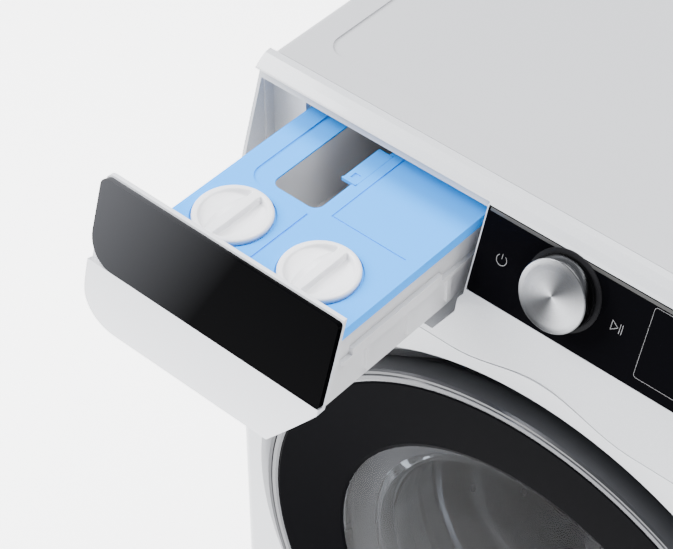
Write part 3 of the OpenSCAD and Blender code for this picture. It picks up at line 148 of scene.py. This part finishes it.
def mesh_piece(name, points, faces, body):
    """A smooth mesh from points and faces of equal size, riding on a body."""
    mesh = bpy.data.meshes.new(name)
    faces = np.asarray(faces, np.int32)
    mesh.vertices.add(len(points))
    mesh.vertices.foreach_set("co", np.asarray(points, np.float32).ravel())
    mesh.loops.add(faces.size)
    mesh.loops.foreach_set("vertex_index", faces.ravel())
    mesh.polygons.add(len(faces))
    mesh.polygons.foreach_set("loop_start", np.arange(0, faces.size, faces.shape[1], dtype=np.int32))
    mesh.polygons.foreach_set("use_smooth", np.ones(len(faces), bool))
    mesh.update(calc_edges=True)
    mesh.validate()
    piece = bpy.data.objects.new(name, mesh)
    bpy.context.scene.collection.objects.link(piece)
    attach(piece, body)
    return piece


def lathe(profile, centre, axis, count=160):
    """A grid of a [radius, height] profile turned about an axis: row = profile point, column = angle."""
    profile = np.asarray(profile, float)
    axis = np.array(axis, float) / np.linalg.norm(axis)
    side = np.cross(axis, [1, 0, 0]) if abs(axis[0]) < 0.9 else np.cross(axis, [0, 0, 1])
    side /= np.linalg.norm(side)
    up = np.cross(axis, side)
    angle = np.linspace(0, 2 * math.pi, count, endpoint=False)
    ring = np.cos(angle)[:, None] * side + np.sin(angle)[:, None] * up
    return np.array(centre) + profile[:, 1][:, None, None] * axis + profile[:, 0][:, None, None] * ring[None]


def give(material, *names):
    """Puts one material on the named frame nodes."""
    for name in names:
        for slot in nodes[name].material_slots:
            slot.material = material


def paint(piece, material):
    """Puts one material on a new piece."""
    piece.data.materials.clear()
    piece.data.materials.append(material)
    return piece


def node_of(tree, kind):
    """The first node of one kind in a material's tree."""
    return next(node for node in tree.nodes if node.bl_idname == kind)


# %% [markdown]
# Real finishes are never one flat value. Three effects come back in nearly all of them, so each is a node group
# that is built once: a fine grain from moulding or paint, a brushed pattern along one direction, and rings about
# an axis for turned or ring-brushed metal. Each group puts out a tone near 1 and a height, and the material
# decides how strongly to use them.

# %% Shared effect groups
def new_group(name, inputs):
    """An empty shader group with float inputs, and Tone and Height as its outputs."""
    group = bpy.data.node_groups.new(name, "ShaderNodeTree")
    group.interface.new_socket("Vector", in_out="INPUT", socket_type="NodeSocketVector")
    for label, value in inputs.items():
        socket = group.interface.new_socket(label, in_out="INPUT", socket_type="NodeSocketFloat")
        socket.default_value = value
    for label in ("Tone", "Height"):
        group.interface.new_socket(label, in_out="OUTPUT", socket_type="NodeSocketFloat")
    return group, group.nodes.new("NodeGroupInput"), group.nodes.new("NodeGroupOutput")


def tone_from(group, source, amount, target):
    """Tone = 1 + (noise - 0.5) * amount, so that it brightens and darkens about 1."""
    centred = group.nodes.new("ShaderNodeMath")
    centred.operation = "SUBTRACT"
    centred.inputs[1].default_value = 0.5
    group.links.new(source, centred.inputs[0])
    tone = group.nodes.new("ShaderNodeMath")
    tone.operation = "MULTIPLY_ADD"
    tone.inputs[2].default_value = 1.0
    group.links.new(centred.outputs[0], tone.inputs[0])
    group.links.new(amount, tone.inputs[1])
    group.links.new(tone.outputs[0], target)


def grain_group():
    """Fine moulded or sprayed grain: small noise for the height, with large soft clouds in the tone."""
    group, feed, out = new_group("fine_grain", {"Scale": 900.0, "Cloud": 6.0, "Amount": 0.05})
    fine = group.nodes.new("ShaderNodeTexNoise")
    fine.inputs["Detail"].default_value = 3.0
    cloud = group.nodes.new("ShaderNodeTexNoise")
    cloud.inputs["Detail"].default_value = 2.0
    blend = group.nodes.new("ShaderNodeMix")
    blend.data_type = "FLOAT"
    blend.inputs[0].default_value = 0.6
    group.links.new(feed.outputs["Vector"], fine.inputs["Vector"])
    group.links.new(feed.outputs["Vector"], cloud.inputs["Vector"])
    group.links.new(feed.outputs["Scale"], fine.inputs["Scale"])
    group.links.new(feed.outputs["Cloud"], cloud.inputs["Scale"])
    group.links.new(fine.outputs["Fac"], blend.inputs[2])
    group.links.new(cloud.outputs["Fac"], blend.inputs[3])
    tone_from(group, blend.outputs[0], feed.outputs["Amount"], out.inputs["Tone"])
    group.links.new(fine.outputs["Fac"], out.inputs["Height"])
    return group


def brushed_group():
    """Brush lines: noise on coordinates that are squeezed across the lines and stretched along X."""
    group, feed, out = new_group("brushed_lines", {"Across": 700.0, "Along": 12.0, "Amount": 0.1})
    split = group.nodes.new("ShaderNodeSeparateXYZ")
    group.links.new(feed.outputs["Vector"], split.inputs[0])
    join = group.nodes.new("ShaderNodeCombineXYZ")
    for axis, rate in (("X", "Along"), ("Y", "Across"), ("Z", "Across")):
        scaled = group.nodes.new("ShaderNodeMath")
        scaled.operation = "MULTIPLY"
        group.links.new(split.outputs[axis], scaled.inputs[0])
        group.links.new(feed.outputs[rate], scaled.inputs[1])
        group.links.new(scaled.outputs[0], join.inputs[axis])
    lines = group.nodes.new("ShaderNodeTexNoise")
    lines.inputs["Scale"].default_value = 1.0
    lines.inputs["Detail"].default_value = 4.0
    group.links.new(join.outputs[0], lines.inputs["Vector"])
    tone_from(group, lines.outputs["Fac"], feed.outputs["Amount"], out.inputs["Tone"])
    group.links.new(lines.outputs["Fac"], out.inputs["Height"])
    return group


def ring_group():
    """Turned rings: noise on the distance from the local Z axis and on the height along it, so it only
    changes from ring to ring."""
    group, feed, out = new_group("turned_rings", {"Across": 900.0, "Amount": 0.1})
    split = group.nodes.new("ShaderNodeSeparateXYZ")
    group.links.new(feed.outputs["Vector"], split.inputs[0])
    flat = group.nodes.new("ShaderNodeCombineXYZ")
    group.links.new(split.outputs["X"], flat.inputs["X"])
    group.links.new(split.outputs["Y"], flat.inputs["Y"])
    reach = group.nodes.new("ShaderNodeVectorMath")
    reach.operation = "LENGTH"
    group.links.new(flat.outputs[0], reach.inputs[0])
    join = group.nodes.new("ShaderNodeCombineXYZ")
    group.links.new(reach.outputs["Value"], join.inputs["X"])
    group.links.new(split.outputs["Z"], join.inputs["Y"])
    rings = group.nodes.new("ShaderNodeTexNoise")
    rings.inputs["Detail"].default_value = 3.0
    group.links.new(join.outputs[0], rings.inputs["Vector"])
    group.links.new(feed.outputs["Across"], rings.inputs["Scale"])
    tone_from(group, rings.outputs["Fac"], feed.outputs["Amount"], out.inputs["Tone"])
    group.links.new(rings.outputs["Fac"], out.inputs["Height"])
    return group


GRAIN, BRUSHED, RINGS = grain_group(), brushed_group(), ring_group()
print("groups:", [g.name for g in (GRAIN, BRUSHED, RINGS)])

# %% [markdown]
# One recipe then makes every opaque finish. It takes a colour, a roughness and one of the groups, multiplies the
# colour by the group's tone, moves the roughness a little with the height, and lets the height feed a bump.
# Values that don't change over the surface are set on the shader's own sockets.

# %% Finish recipe
def finish(name, colour, roughness, effect=GRAIN, rates=None, bump=0.02, metal=0.0, coat=0.0, turn=None,
           centre=None, rough_swing=0.06, specular=0.5):
    """A material: Base Color = colour * tone, Roughness = roughness +- swing * height, Normal = bump(height)."""
    material = bpy.data.materials.new(name)
    material.use_nodes = True
    tree = material.node_tree
    shader = tree.nodes["Principled BSDF"]
    shader.inputs["Metallic"].default_value = metal
    shader.inputs["Coat Weight"].default_value = coat
    shader.inputs["Coat Roughness"].default_value = 0.06
    shader.inputs["Specular IOR Level"].default_value = specular
    place = tree.nodes.new("ShaderNodeTexCoord")
    mapping = tree.nodes.new("ShaderNodeMapping")
    mapping.vector_type = "TEXTURE"
    if centre is not None:
        mapping.inputs["Location"].default_value = centre
    if turn is not None:
        mapping.inputs["Rotation"].default_value = turn
    tree.links.new(place.outputs["Object"], mapping.inputs["Vector"])
    group = tree.nodes.new("ShaderNodeGroup")
    group.node_tree = effect
    for label, value in (rates or {}).items():
        group.inputs[label].default_value = value
    tree.links.new(mapping.outputs["Vector"], group.inputs["Vector"])
    shade = tree.nodes.new("ShaderNodeVectorMath")
    shade.operation = "SCALE"
    shade.inputs[0].default_value = colour
    tree.links.new(group.outputs["Tone"], shade.inputs["Scale"])
    tree.links.new(shade.outputs[0], shader.inputs["Base Color"])
    spread = tree.nodes.new("ShaderNodeMapRange")
    spread.inputs["To Min"].default_value = max(roughness - rough_swing, 0.02)
    spread.inputs["To Max"].default_value = roughness + rough_swing
    tree.links.new(group.outputs["Height"], spread.inputs["Value"])
    tree.links.new(spread.outputs["Result"], shader.inputs["Roughness"])
    relief = tree.nodes.new("ShaderNodeBump")
    relief.inputs["Strength"].default_value = bump
    relief.inputs["Distance"].default_value = 0.0004
    tree.links.new(group.outputs["Height"], relief.inputs["Height"])
    tree.links.new(relief.outputs["Normal"], shader.inputs["Normal"])
    return material


DOOR_CENTRE = ((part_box("door_rim")[0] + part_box("door_rim")[1]) / 2)[:]
DRUM_CENTRE = joints["drum_spin"]["pos_m"]
ALONG_Y = (math.radians(90), 0, 0)

white_paint = finish("white_paint", (0.46, 0.47, 0.49), 0.32, rates={"Scale": 1600, "Cloud": 4, "Amount": 0.02},
                     bump=0.03, coat=0.25)
top_paint = finish("top_paint", (0.33, 0.335, 0.35), 0.34, rates={"Scale": 1500, "Cloud": 3, "Amount": 0.22},
                   bump=0.10, coat=0.15)
white_moulding = finish("white_moulding", (0.40, 0.41, 0.43), 0.26, rates={"Scale": 1300, "Cloud": 5, "Amount": 0.02},
                        bump=0.02, coat=0.3)
front_white = finish("front_white", (0.55, 0.56, 0.59), 0.12, rates={"Scale": 700, "Cloud": 5, "Amount": 0.015},
                     bump=0.01, coat=0.6)
tray_white = finish("tray_white", (0.46, 0.46, 0.47), 0.38, rates={"Scale": 1500, "Cloud": 20, "Amount": 0.04},
                    bump=0.06)
housing_plastic = finish("housing_plastic", (0.34, 0.34, 0.345), 0.42, rates={"Scale": 1200, "Cloud": 16, "Amount": 0.06},
                         bump=0.08)
lid_blue = finish("lid_blue", (0.012, 0.27, 0.80), 0.45, rates={"Scale": 2200, "Cloud": 12, "Amount": 0.04}, bump=0.07,
                  specular=0.08)
cap_white = finish("cap_white", (0.66, 0.66, 0.68), 0.34, rates={"Scale": 2000, "Cloud": 22, "Amount": 0.03},
                   bump=0.05)
black_gloss = finish("black_gloss", (0.0015, 0.0015, 0.002), 0.06, rates={"Scale": 500, "Cloud": 3, "Amount": 0.3},
                     bump=0.004, specular=0.003, rough_swing=0.02)
dark_ring = finish("dark_ring", (0.010, 0.010, 0.011), 0.5, rates={"Scale": 900, "Cloud": 20, "Amount": 0.1}, bump=0.02,
                   specular=0.05)
gunmetal = finish("gunmetal", (0.060, 0.061, 0.065), 0.36, RINGS, {"Across": 1400, "Amount": 0.12}, bump=0.03, metal=1.0,
                  turn=ALONG_Y, centre=DOOR_CENTRE)
grey_trim = finish("grey_trim", (0.085, 0.086, 0.092), 0.24, RINGS, {"Across": 900, "Amount": 0.10}, bump=0.05, metal=0.55,
                   turn=ALONG_Y, centre=DOOR_CENTRE)
stainless = finish("stainless", (0.26, 0.265, 0.28), 0.24, RINGS, {"Across": 600, "Amount": 0.25}, bump=0.18, metal=1.0,
                   turn=ALONG_Y, centre=DRUM_CENTRE)
galvanised = finish("galvanised", (0.58, 0.60, 0.62), 0.42, rates={"Scale": 160, "Cloud": 40, "Amount": 0.35}, bump=0.05,
                    metal=0.85, rough_swing=0.12)
cast_alloy = finish("cast_alloy", (0.50, 0.51, 0.53), 0.46, rates={"Scale": 420, "Cloud": 14, "Amount": 0.25}, bump=0.35,
                    metal=0.9, rough_swing=0.14)
bright_steel = finish("bright_steel", (0.66, 0.67, 0.69), 0.20, BRUSHED, {"Across": 900, "Along": 40, "Amount": 0.12},
                      bump=0.06, metal=1.0)
rubber_grey = finish("rubber_grey", (0.20, 0.205, 0.21), 0.62, rates={"Scale": 900, "Cloud": 12, "Amount": 0.14},
                     bump=0.2)
rubber_black = finish("rubber_black", (0.02, 0.02, 0.022), 0.6, rates={"Scale": 1100, "Cloud": 14, "Amount": 0.3},
                      bump=0.25)
dark_plastic = finish("dark_plastic", (0.05, 0.05, 0.055), 0.42, rates={"Scale": 1300, "Cloud": 10, "Amount": 0.2},
                      bump=0.15)
tub_plastic = finish("tub_plastic", (0.52, 0.53, 0.54), 0.5, rates={"Scale": 600, "Cloud": 8, "Amount": 0.10},
                     bump=0.15)
concrete = finish("concrete", (0.36, 0.35, 0.34), 0.85, rates={"Scale": 300, "Cloud": 30, "Amount": 0.5},
                  bump=0.8)
motor_paint = finish("motor_paint", (0.07, 0.073, 0.078), 0.38, rates={"Scale": 700, "Cloud": 10, "Amount": 0.2},
                     bump=0.2)
filter_blue = finish("filter_blue", (0.12, 0.27, 0.47), 0.4, rates={"Scale": 1200, "Cloud": 12, "Amount": 0.1},
                     bump=0.1)
board_green = finish("board_green", (0.03, 0.15, 0.07), 0.35, rates={"Scale": 260, "Cloud": 60, "Amount": 0.5},
                     bump=0.12)

give(white_paint, "cabinet_wrap", "front_panel", "service_flap")
give(top_paint, "top_panel")
give(white_moulding, "control_fascia")
give(front_white, "drawer_front")
give(tray_white, "drawer_tray", "transit_caps")
give(housing_plastic, "dispenser_housing", "dispenser_cover", "inlet_valve", "main_board_box", "door_lock", "drain_pump")
give(lid_blue, "drawer_lid", "release_lever")
give(cap_white, "cap_left", "cap_right")
give(black_gloss, "control_glass", "door_cover", "display_window")
give(dark_ring, "knob_ring")
give(gunmetal, "door_rim")
give(grey_trim, "door_bezel")
give(stainless, "drum_shell", "heater")
give(galvanised, "base_pan", "rear_cover", "cross_rail")
give(cast_alloy, "hinge_bracket", "drum_spider", "drum_pulley")
give(bright_steel, "hinge_pin", "bellows_clamps", "tub_bearings", "suspension_springs", "damper_rods", "motor_pulley",
     "panel_screws", "door_hook")
give(rubber_grey, "bellows")
give(rubber_black, "hoses", "drive_belt")
give(dark_plastic, "door_frame", "drain_spigot", "power_gland", "damper_cylinders", "levelling_feet")
give(tub_plastic, "tub_front", "tub_rear", "drum_lifters")
give(concrete, "counterweight_front", "counterweight_top")
give(motor_paint, "motor")
give(filter_blue, "pump_filter")
give(board_green, "control_board")
print("finishes:", len([m for m in bpy.data.materials if m.users]))

# %% [markdown]
# The drawer's black panel stands free of the rest and picks up the soft left window as a sheen that fades to
# the right. That sheen is a painted reflection: a gradient laid across the panel mixes a smoky grey into the black.
# It is painted into the colour, fixed to the panel, so it doesn't move with the lights as a true reflection would.

# %% Painted sheen on the drawer's panel
panel_black = black_gloss.copy()
panel_black.name = "panel_black"
panel_tree = panel_black.node_tree
low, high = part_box("drawer_panel")
ramp_place = panel_tree.nodes.new("ShaderNodeMapping")
ramp_place.vector_type = "TEXTURE"
ramp_place.inputs["Location"].default_value = (low.x - 0.02, low.y, high.z)
ramp_place.inputs["Rotation"].default_value = (0, math.radians(25), 0)
ramp_place.inputs["Scale"].default_value = ((high.x - low.x) * 0.62,) * 3
ramp = panel_tree.nodes.new("ShaderNodeTexGradient")
painted_sheen_mix = panel_tree.nodes.new("ShaderNodeMix")
painted_sheen_mix.data_type = "RGBA"
# painted reflection: smoky grey where the panel faces the left window, fading to near black on the right
painted_sheen_mix.inputs[6].default_value = (0.050, 0.051, 0.055, 1)
painted_sheen_mix.inputs[7].default_value = (0.0008, 0.0008, 0.001, 1)
panel_shader = panel_tree.nodes["Principled BSDF"]
panel_shader.inputs["Specular IOR Level"].default_value = 0.01
panel_tree.links.new(node_of(panel_tree, "ShaderNodeTexCoord").outputs["Object"], ramp_place.inputs["Vector"])
panel_tree.links.new(ramp_place.outputs["Vector"], ramp.inputs["Vector"])
panel_tree.links.new(ramp.outputs["Fac"], painted_sheen_mix.inputs[0])
panel_tree.links.new(painted_sheen_mix.outputs[2], panel_shader.inputs["Base Color"])
give(panel_black, "drawer_panel")
print("panel from", round(low.x, 3), "to", round(high.x, 3))

# %% [markdown]
# The window and the bowl are clear. Glass stays a plain material with full transmission; only a faint ripple on
# the thick bowl disturbs the surface, as pressed glass does.

# %% Glass
def clear_glass(name, tint, roughness, ripple, ior):
    """Transmission 1 on the shader, with a slow noise bump for the ripple of pressed glass."""
    material = bpy.data.materials.new(name)
    material.use_nodes = True
    tree = material.node_tree
    shader = tree.nodes["Principled BSDF"]
    shader.inputs["Base Color"].default_value = (*tint, 1)
    shader.inputs["Roughness"].default_value = roughness
    shader.inputs["Transmission Weight"].default_value = 1.0
    shader.inputs["IOR"].default_value = ior
    place = tree.nodes.new("ShaderNodeTexCoord")
    waves = tree.nodes.new("ShaderNodeTexNoise")
    waves.inputs["Scale"].default_value = 14
    relief = tree.nodes.new("ShaderNodeBump")
    relief.inputs["Strength"].default_value = ripple
    relief.inputs["Distance"].default_value = 0.002
    tree.links.new(place.outputs["Object"], waves.inputs["Vector"])
    tree.links.new(waves.outputs["Fac"], relief.inputs["Height"])
    tree.links.new(relief.outputs["Normal"], shader.inputs["Normal"])
    return material


give(clear_glass("clear_window", (0.45, 0.46, 0.48), 0.01, 0.01, 1.10), "door_window")
give(clear_glass("bowl_glass", (0.80, 0.83, 0.85), 0.02, 0.02, 1.25), "door_bowl")

# %% [markdown]
# The programme knob is turned from aluminium. Its face is spun, so it carries thousands of rings, and the light
# breaks on them into bright fans that run out from the middle. A lathe profile gives the body with its small
# bright chamfer. An anisotropic shader stretches the highlights across the rings; it needs the direction of the
# rings, so the mesh gets a UV map whose U runs round the axis. Soft light alone leaves the fans faint, so a painted
# highlight, a tone that depends on the angle about the axis, strengthens them. That painted highlight turns with the
# knob.

# %% Knob
KNOB_AT = np.array(joints["knob_turn"]["pos_m"])
OUT = np.array(joints["knob_turn"]["axis"])
UP = np.array([0, OUT[2], -OUT[1]])      # up the slope of the glass
KNOB_R = (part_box("knob")[1][0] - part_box("knob")[0][0]) / 2
KNOB_H = 0.016


def around_uv(piece, rows, cols):
    """UV map of a lathed grid: U is the share of a full turn, V the share of the profile."""
    layer = piece.data.uv_layers.new(name="turn")
    index = np.zeros(len(piece.data.loops), np.int32)
    piece.data.loops.foreach_get("vertex_index", index)
    row, col = np.divmod(index, cols)
    last = np.repeat(col.reshape(-1, 4).max(1), 4)
    u = np.where((col == 0) & (last == cols - 1), 1.0, col / cols)
    layer.data.foreach_set("uv", np.stack([u, row / (rows - 1)], -1).astype(np.float32).ravel())


mm = 0.001
top, edge = KNOB_H, 0.9 * mm
knob_profile = np.array([[8.2 * mm, 2.0 * mm], [KNOB_R - 1.2 * mm, 2.0 * mm], [KNOB_R - 0.4 * mm, 2.2 * mm],
    [KNOB_R, 2.9 * mm], [KNOB_R - 0.15 * mm, top * 0.5], [KNOB_R - 0.3 * mm, top - edge],
    [KNOB_R - 0.35 * mm, top - edge * 0.9], [KNOB_R - edge, top - 0.05 * mm], [KNOB_R - edge - 0.15 * mm, top - 0.05 * mm],
    [KNOB_R - edge - 0.35 * mm, top - 0.10 * mm], [KNOB_R * 0.8, top - 0.12 * mm], [KNOB_R * 0.5, top - 0.14 * mm],
    [KNOB_R * 0.2, top - 0.15 * mm], [0.02 * mm, top - 0.15 * mm]])
knob_cap = grid_piece("knob_cap", lathe(knob_profile, KNOB_AT, OUT, 192), "knob_body")
around_uv(knob_cap, len(knob_profile), 192)
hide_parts("knob")
KNOB_TURN = (math.atan2(math.hypot(OUT[0], OUT[1]), OUT[2]), 0, 0)
spun = finish("spun_metal", (0.27, 0.275, 0.285), 0.26, RINGS, {"Across": 2600, "Amount": 0.16}, bump=0.12, metal=1.0,
              turn=KNOB_TURN, centre=KNOB_AT.tolist(), rough_swing=0.05)
spun_tree = spun.node_tree
spun_shader = spun_tree.nodes["Principled BSDF"]
spun_shader.inputs["Anisotropic"].default_value = 0.85
grain_way = spun_tree.nodes.new("ShaderNodeTangent")
grain_way.direction_type = "UV_MAP"
grain_way.uv_map = "turn"
spun_tree.links.new(grain_way.outputs["Tangent"], spun_shader.inputs["Tangent"])


def math_node(tree, operation, first, second):
    """One math node; each input is a socket to link or a plain number."""
    node = tree.nodes.new("ShaderNodeMath")
    node.operation = operation
    for slot, value in enumerate((first, second)):
        if isinstance(value, (int, float)):
            node.inputs[slot].default_value = value
        elif value is not None:
            tree.links.new(value, node.inputs[slot])
    return node.outputs[0]


# painted highlight fans = |cos(angle - lean)| ^ 2.6 on the face, and one even tone outside the face's radius
face_place = node_of(spun_tree, "ShaderNodeMapping").outputs["Vector"]
around = spun_tree.nodes.new("ShaderNodeTexGradient")
around.gradient_type = "RADIAL"
spun_tree.links.new(face_place, around.inputs["Vector"])
angle = math_node(spun_tree, "MULTIPLY", around.outputs["Fac"], 2 * math.pi)
LEAN, FAN_POWER = math.radians(150) + math.pi, 2.6
swing = math_node(spun_tree, "COSINE", math_node(spun_tree, "SUBTRACT", angle, LEAN), None)
painted_highlight_fans = math_node(spun_tree, "POWER", math_node(spun_tree, "ABSOLUTE", swing, None), FAN_POWER)
part = spun_tree.nodes.new("ShaderNodeSeparateXYZ")
spun_tree.links.new(face_place, part.inputs[0])
reach = math_node(spun_tree, "SQRT", math_node(spun_tree, "ADD",
    math_node(spun_tree, "MULTIPLY", part.outputs["X"], part.outputs["X"]),
    math_node(spun_tree, "MULTIPLY", part.outputs["Y"], part.outputs["Y"])), None)
side = math_node(spun_tree, "GREATER_THAN", reach, KNOB_R - 1.0 * mm)
# painted highlight: the fans lift the face's colour up to 1.9 times and drop it to 0.2 times between them
painted_fan_highlight = spun_tree.nodes.new("ShaderNodeMapRange")
painted_fan_highlight.inputs["To Min"].default_value = 0.20
painted_fan_highlight.inputs["To Max"].default_value = 1.9
spun_tree.links.new(painted_highlight_fans, painted_fan_highlight.inputs["Value"])
level = spun_tree.nodes.new("ShaderNodeMix")
level.data_type = "FLOAT"
level.inputs[3].default_value = 0.32
spun_tree.links.new(side, level.inputs[0])
spun_tree.links.new(painted_fan_highlight.outputs["Result"], level.inputs[2])
old = spun_shader.inputs["Base Color"].links[0].from_socket
lit = spun_tree.nodes.new("ShaderNodeVectorMath")
lit.operation = "SCALE"
spun_tree.links.new(old, lit.inputs[0])
spun_tree.links.new(level.outputs[0], lit.inputs["Scale"])
spun_tree.links.new(lit.outputs[0], spun_shader.inputs["Base Color"])
paint(knob_cap, spun)
print("knob radius mm:", round(KNOB_R * 1000, 1))

# %% [markdown]
# Each filler cap is one moulding: a round lid with a finger bar left standing between two scoops. A scoop is
# deep beside the bar and runs up to nothing at the rim, so a height over a polar grid describes it better than
# any cut. The grid goes from the middle of the top out to the edge, over a soft shoulder and down the side.

# %% Filler caps
PLUG_DEPTH = 6.3                         # how far the hidden plug reaches below the skirt, in millimetres


def cap_piece(name, node, joint, body):
    """Height = top - depth * (1 - s^2.2) * wall * inside, where s runs from the bar (0) to the scoop's edge (1),
    wall rises smoothly from 0 at the bar's side, and inside falls smoothly to 0 at the scoop's edge."""
    low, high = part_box(node)
    centre = np.array([*joints[joint]["pos_m"][:2], 0])
    radius = (high.x - low.x) / 2
    scoop_r, bar, depth, top_z = radius - 3.6 * mm, 3.6 * mm, 5.6 * mm, high.z
    shoulder, flat_rows, skirt = 2.2 * mm, 60, (top_z - low.z) / mm - PLUG_DEPTH
    ring = np.concatenate([np.linspace(0.2 * mm, radius - shoulder, flat_rows),
                           radius - np.array([1.6, 1.0, 0.5, 0.15, 0, 0]) * mm])
    drop = np.concatenate([np.zeros(flat_rows), np.array([0.15, 0.4, 0.8, 1.35, 2.0, skirt]) * mm])
    angle = np.linspace(0, 2 * math.pi, 192, endpoint=False)
    x, y = ring[:, None] * np.cos(angle), ring[:, None] * np.sin(angle)
    reach = np.sqrt(np.maximum(scoop_r ** 2 - y ** 2, (bar + 1e-4) ** 2))
    s = np.clip((np.abs(x) - bar) / np.maximum(reach - bar, 1e-4), 0, 1)
    wall = np.clip((np.abs(x) - bar) / (1.3 * mm), 0, 1)
    wall = wall * wall * (3 - 2 * wall)
    inside = np.clip((scoop_r - np.hypot(x, y)) / (3.0 * mm), 0, 1)
    inside = inside * inside * (3 - 2 * inside)
    z = top_z - drop[:, None] - depth * (1 - s ** 2.2) * wall * inside
    piece = grid_piece(name, np.stack([x, y, z], -1) + centre, body)
    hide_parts(node)
    return paint(piece, cap_white)


caps = [cap_piece("filler_cap_left", "cap_left", "cap_left_turn", "cap_l"),
        cap_piece("filler_cap_right", "cap_right", "cap_right_turn", "cap_r")]
print("caps:", [c.name for c in caps])

# %% [markdown]
# The touch keys and the edge of the display are printed behind the glass as hairlines. A hairline is a tiny
# closed ribbon: a flat oval section carried along a path on the glass, which lies a hair above the surface.

# %% Printed marks
HAIR_RISE = 0.00005                      # half the thickness of a hairline, in metres


def on_glass(across, up, lift=HAIR_RISE):
    """Points on the sloping glass from distances across the machine and up the slope, in metres."""
    base = np.array([0.0, KNOB_AT[1], KNOB_AT[2]])
    across, up = np.asarray(across, float), np.asarray(up, float)
    return base + across[..., None] * np.array([1.0, 0, 0]) + up[..., None] * UP + lift * OUT


def hairline(name, across, up, width=0.00036, closed=False):
    """A ribbon: at each path point a flat oval, its long half-axis across the path and its short one out of it."""
    path = on_glass(across, up)
    ahead = np.roll(path, -1, 0) - np.roll(path, 1, 0) if closed else np.gradient(path, axis=0)
    ahead /= np.linalg.norm(ahead, axis=1)[:, None]
    side = np.cross(ahead, OUT)
    turn = np.linspace(0, 2 * math.pi, 8, endpoint=False)
    across_part = side[:, None] * (width / 2 * np.cos(turn))[None, :, None]
    oval = across_part + OUT * (HAIR_RISE * np.sin(turn))[None, :, None]
    piece = grid_piece(name, path[:, None] + oval, "cabinet", wrap_rows=closed)
    return paint(piece, print_grey)


print_grey = finish("print_grey", (0.22, 0.22, 0.225), 0.4, rates={"Scale": 800, "Cloud": 30, "Amount": 0.05},
                    bump=0.0)
key_row = -0.0045                        # the keys sit a little lower than the knob's middle
power_x, play_x, key_r = -0.0548, 0.0436, 0.0043
gap = math.radians(38)
turn = np.linspace(math.pi / 2 + gap, math.pi / 2 + 2 * math.pi - gap, 64)
marks = [hairline("power_ring", power_x + key_r * np.cos(turn), key_row + key_r * np.sin(turn)),
         hairline("power_stroke", np.full(8, power_x), key_row + np.linspace(0.0008, key_r + 0.0006, 8))]
tri = np.array([[-0.0040, -0.0038], [-0.0040, 0.0038], [0.0012, 0.0], [-0.0040, -0.0038]])
tri_x = np.concatenate([np.linspace(tri[i, 0], tri[i + 1, 0], 12)[:-1] for i in range(3)])
tri_y = np.concatenate([np.linspace(tri[i, 1], tri[i + 1, 1], 12)[:-1] for i in range(3)])
marks.append(hairline("play_outline", play_x + tri_x, key_row + tri_y, closed=True))
for k, offset in enumerate((0.0028, 0.0046)):
    marks.append(hairline(f"pause_stroke_{k + 1}", np.full(8, play_x + offset),
                          key_row + np.linspace(-0.0038, 0.0038, 8)))


def rounded_loop(x0, x1, y0, y1, r, steps=10):
    """A closed loop: straight sides joined by four quarter circles."""
    quarter = np.linspace(0, math.pi / 2, steps)
    corners = ((x1 - r, y1 - r, 0), (x0 + r, y1 - r, 1), (x0 + r, y0 + r, 2), (x1 - r, y0 + r, 3))
    xs = np.concatenate([cx + r * np.cos(quarter + q * math.pi / 2) for cx, cy, q in corners])
    ys = np.concatenate([cy + r * np.sin(quarter + q * math.pi / 2) for cx, cy, q in corners])
    return xs, ys


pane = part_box("display_window")
pane_low = (pane[0].z - KNOB_AT[2]) / UP[2] + 0.0002
pane_high = (pane[1].z - KNOB_AT[2]) / UP[2] - 0.0002
edge_path = rounded_loop(pane[0].x, pane[1].x, pane_low, pane_high, 0.0024)
marks.append(hairline("display_edge", *edge_path, width=0.00022, closed=True))
bevel = hairline("glass_bevel", np.linspace(-0.0740, 0.2985, 24), np.full(24, 0.0274), 0.0027)
paint(bevel, finish("bevel_grey", (0.045, 0.045, 0.044), 0.5, rates={"Scale": 800, "Cloud": 8, "Amount": 0.1}, bump=0.0,
                    specular=0.1))
marks.append(bevel)
print("printed marks:", len(marks))

# %% [markdown]
# The floor is one large pale sheet, and isn't part of the machine, so it is staged.

# %% Floor
FLOOR_HALF = 9
floor_material = finish("floor_material", (0.95, 0.95, 0.95), 0.9, rates={"Scale": 60, "Cloud": 1, "Amount": 0.01},
                        bump=0.0, specular=0.0)
floor_shader = floor_material.node_tree.nodes["Principled BSDF"]
floor_shader.inputs["Emission Color"].default_value = (1, 1, 1, 1)
floor_shader.inputs["Emission Strength"].default_value = 2.2
corners = np.array([[-1, -1, 0], [1, -1, 0], [1, 1, 0], [-1, 1, 0]], float) * FLOOR_HALF
floor = bpy.data.objects.new("floor", bpy.data.meshes.new("floor"))
floor.data.from_pydata(corners.tolist(), [], [(0, 1, 2, 3)])
floor.data.materials.append(floor_material)
bpy.context.scene.collection.objects.link(floor)
print("floor half width m:", FLOOR_HALF)
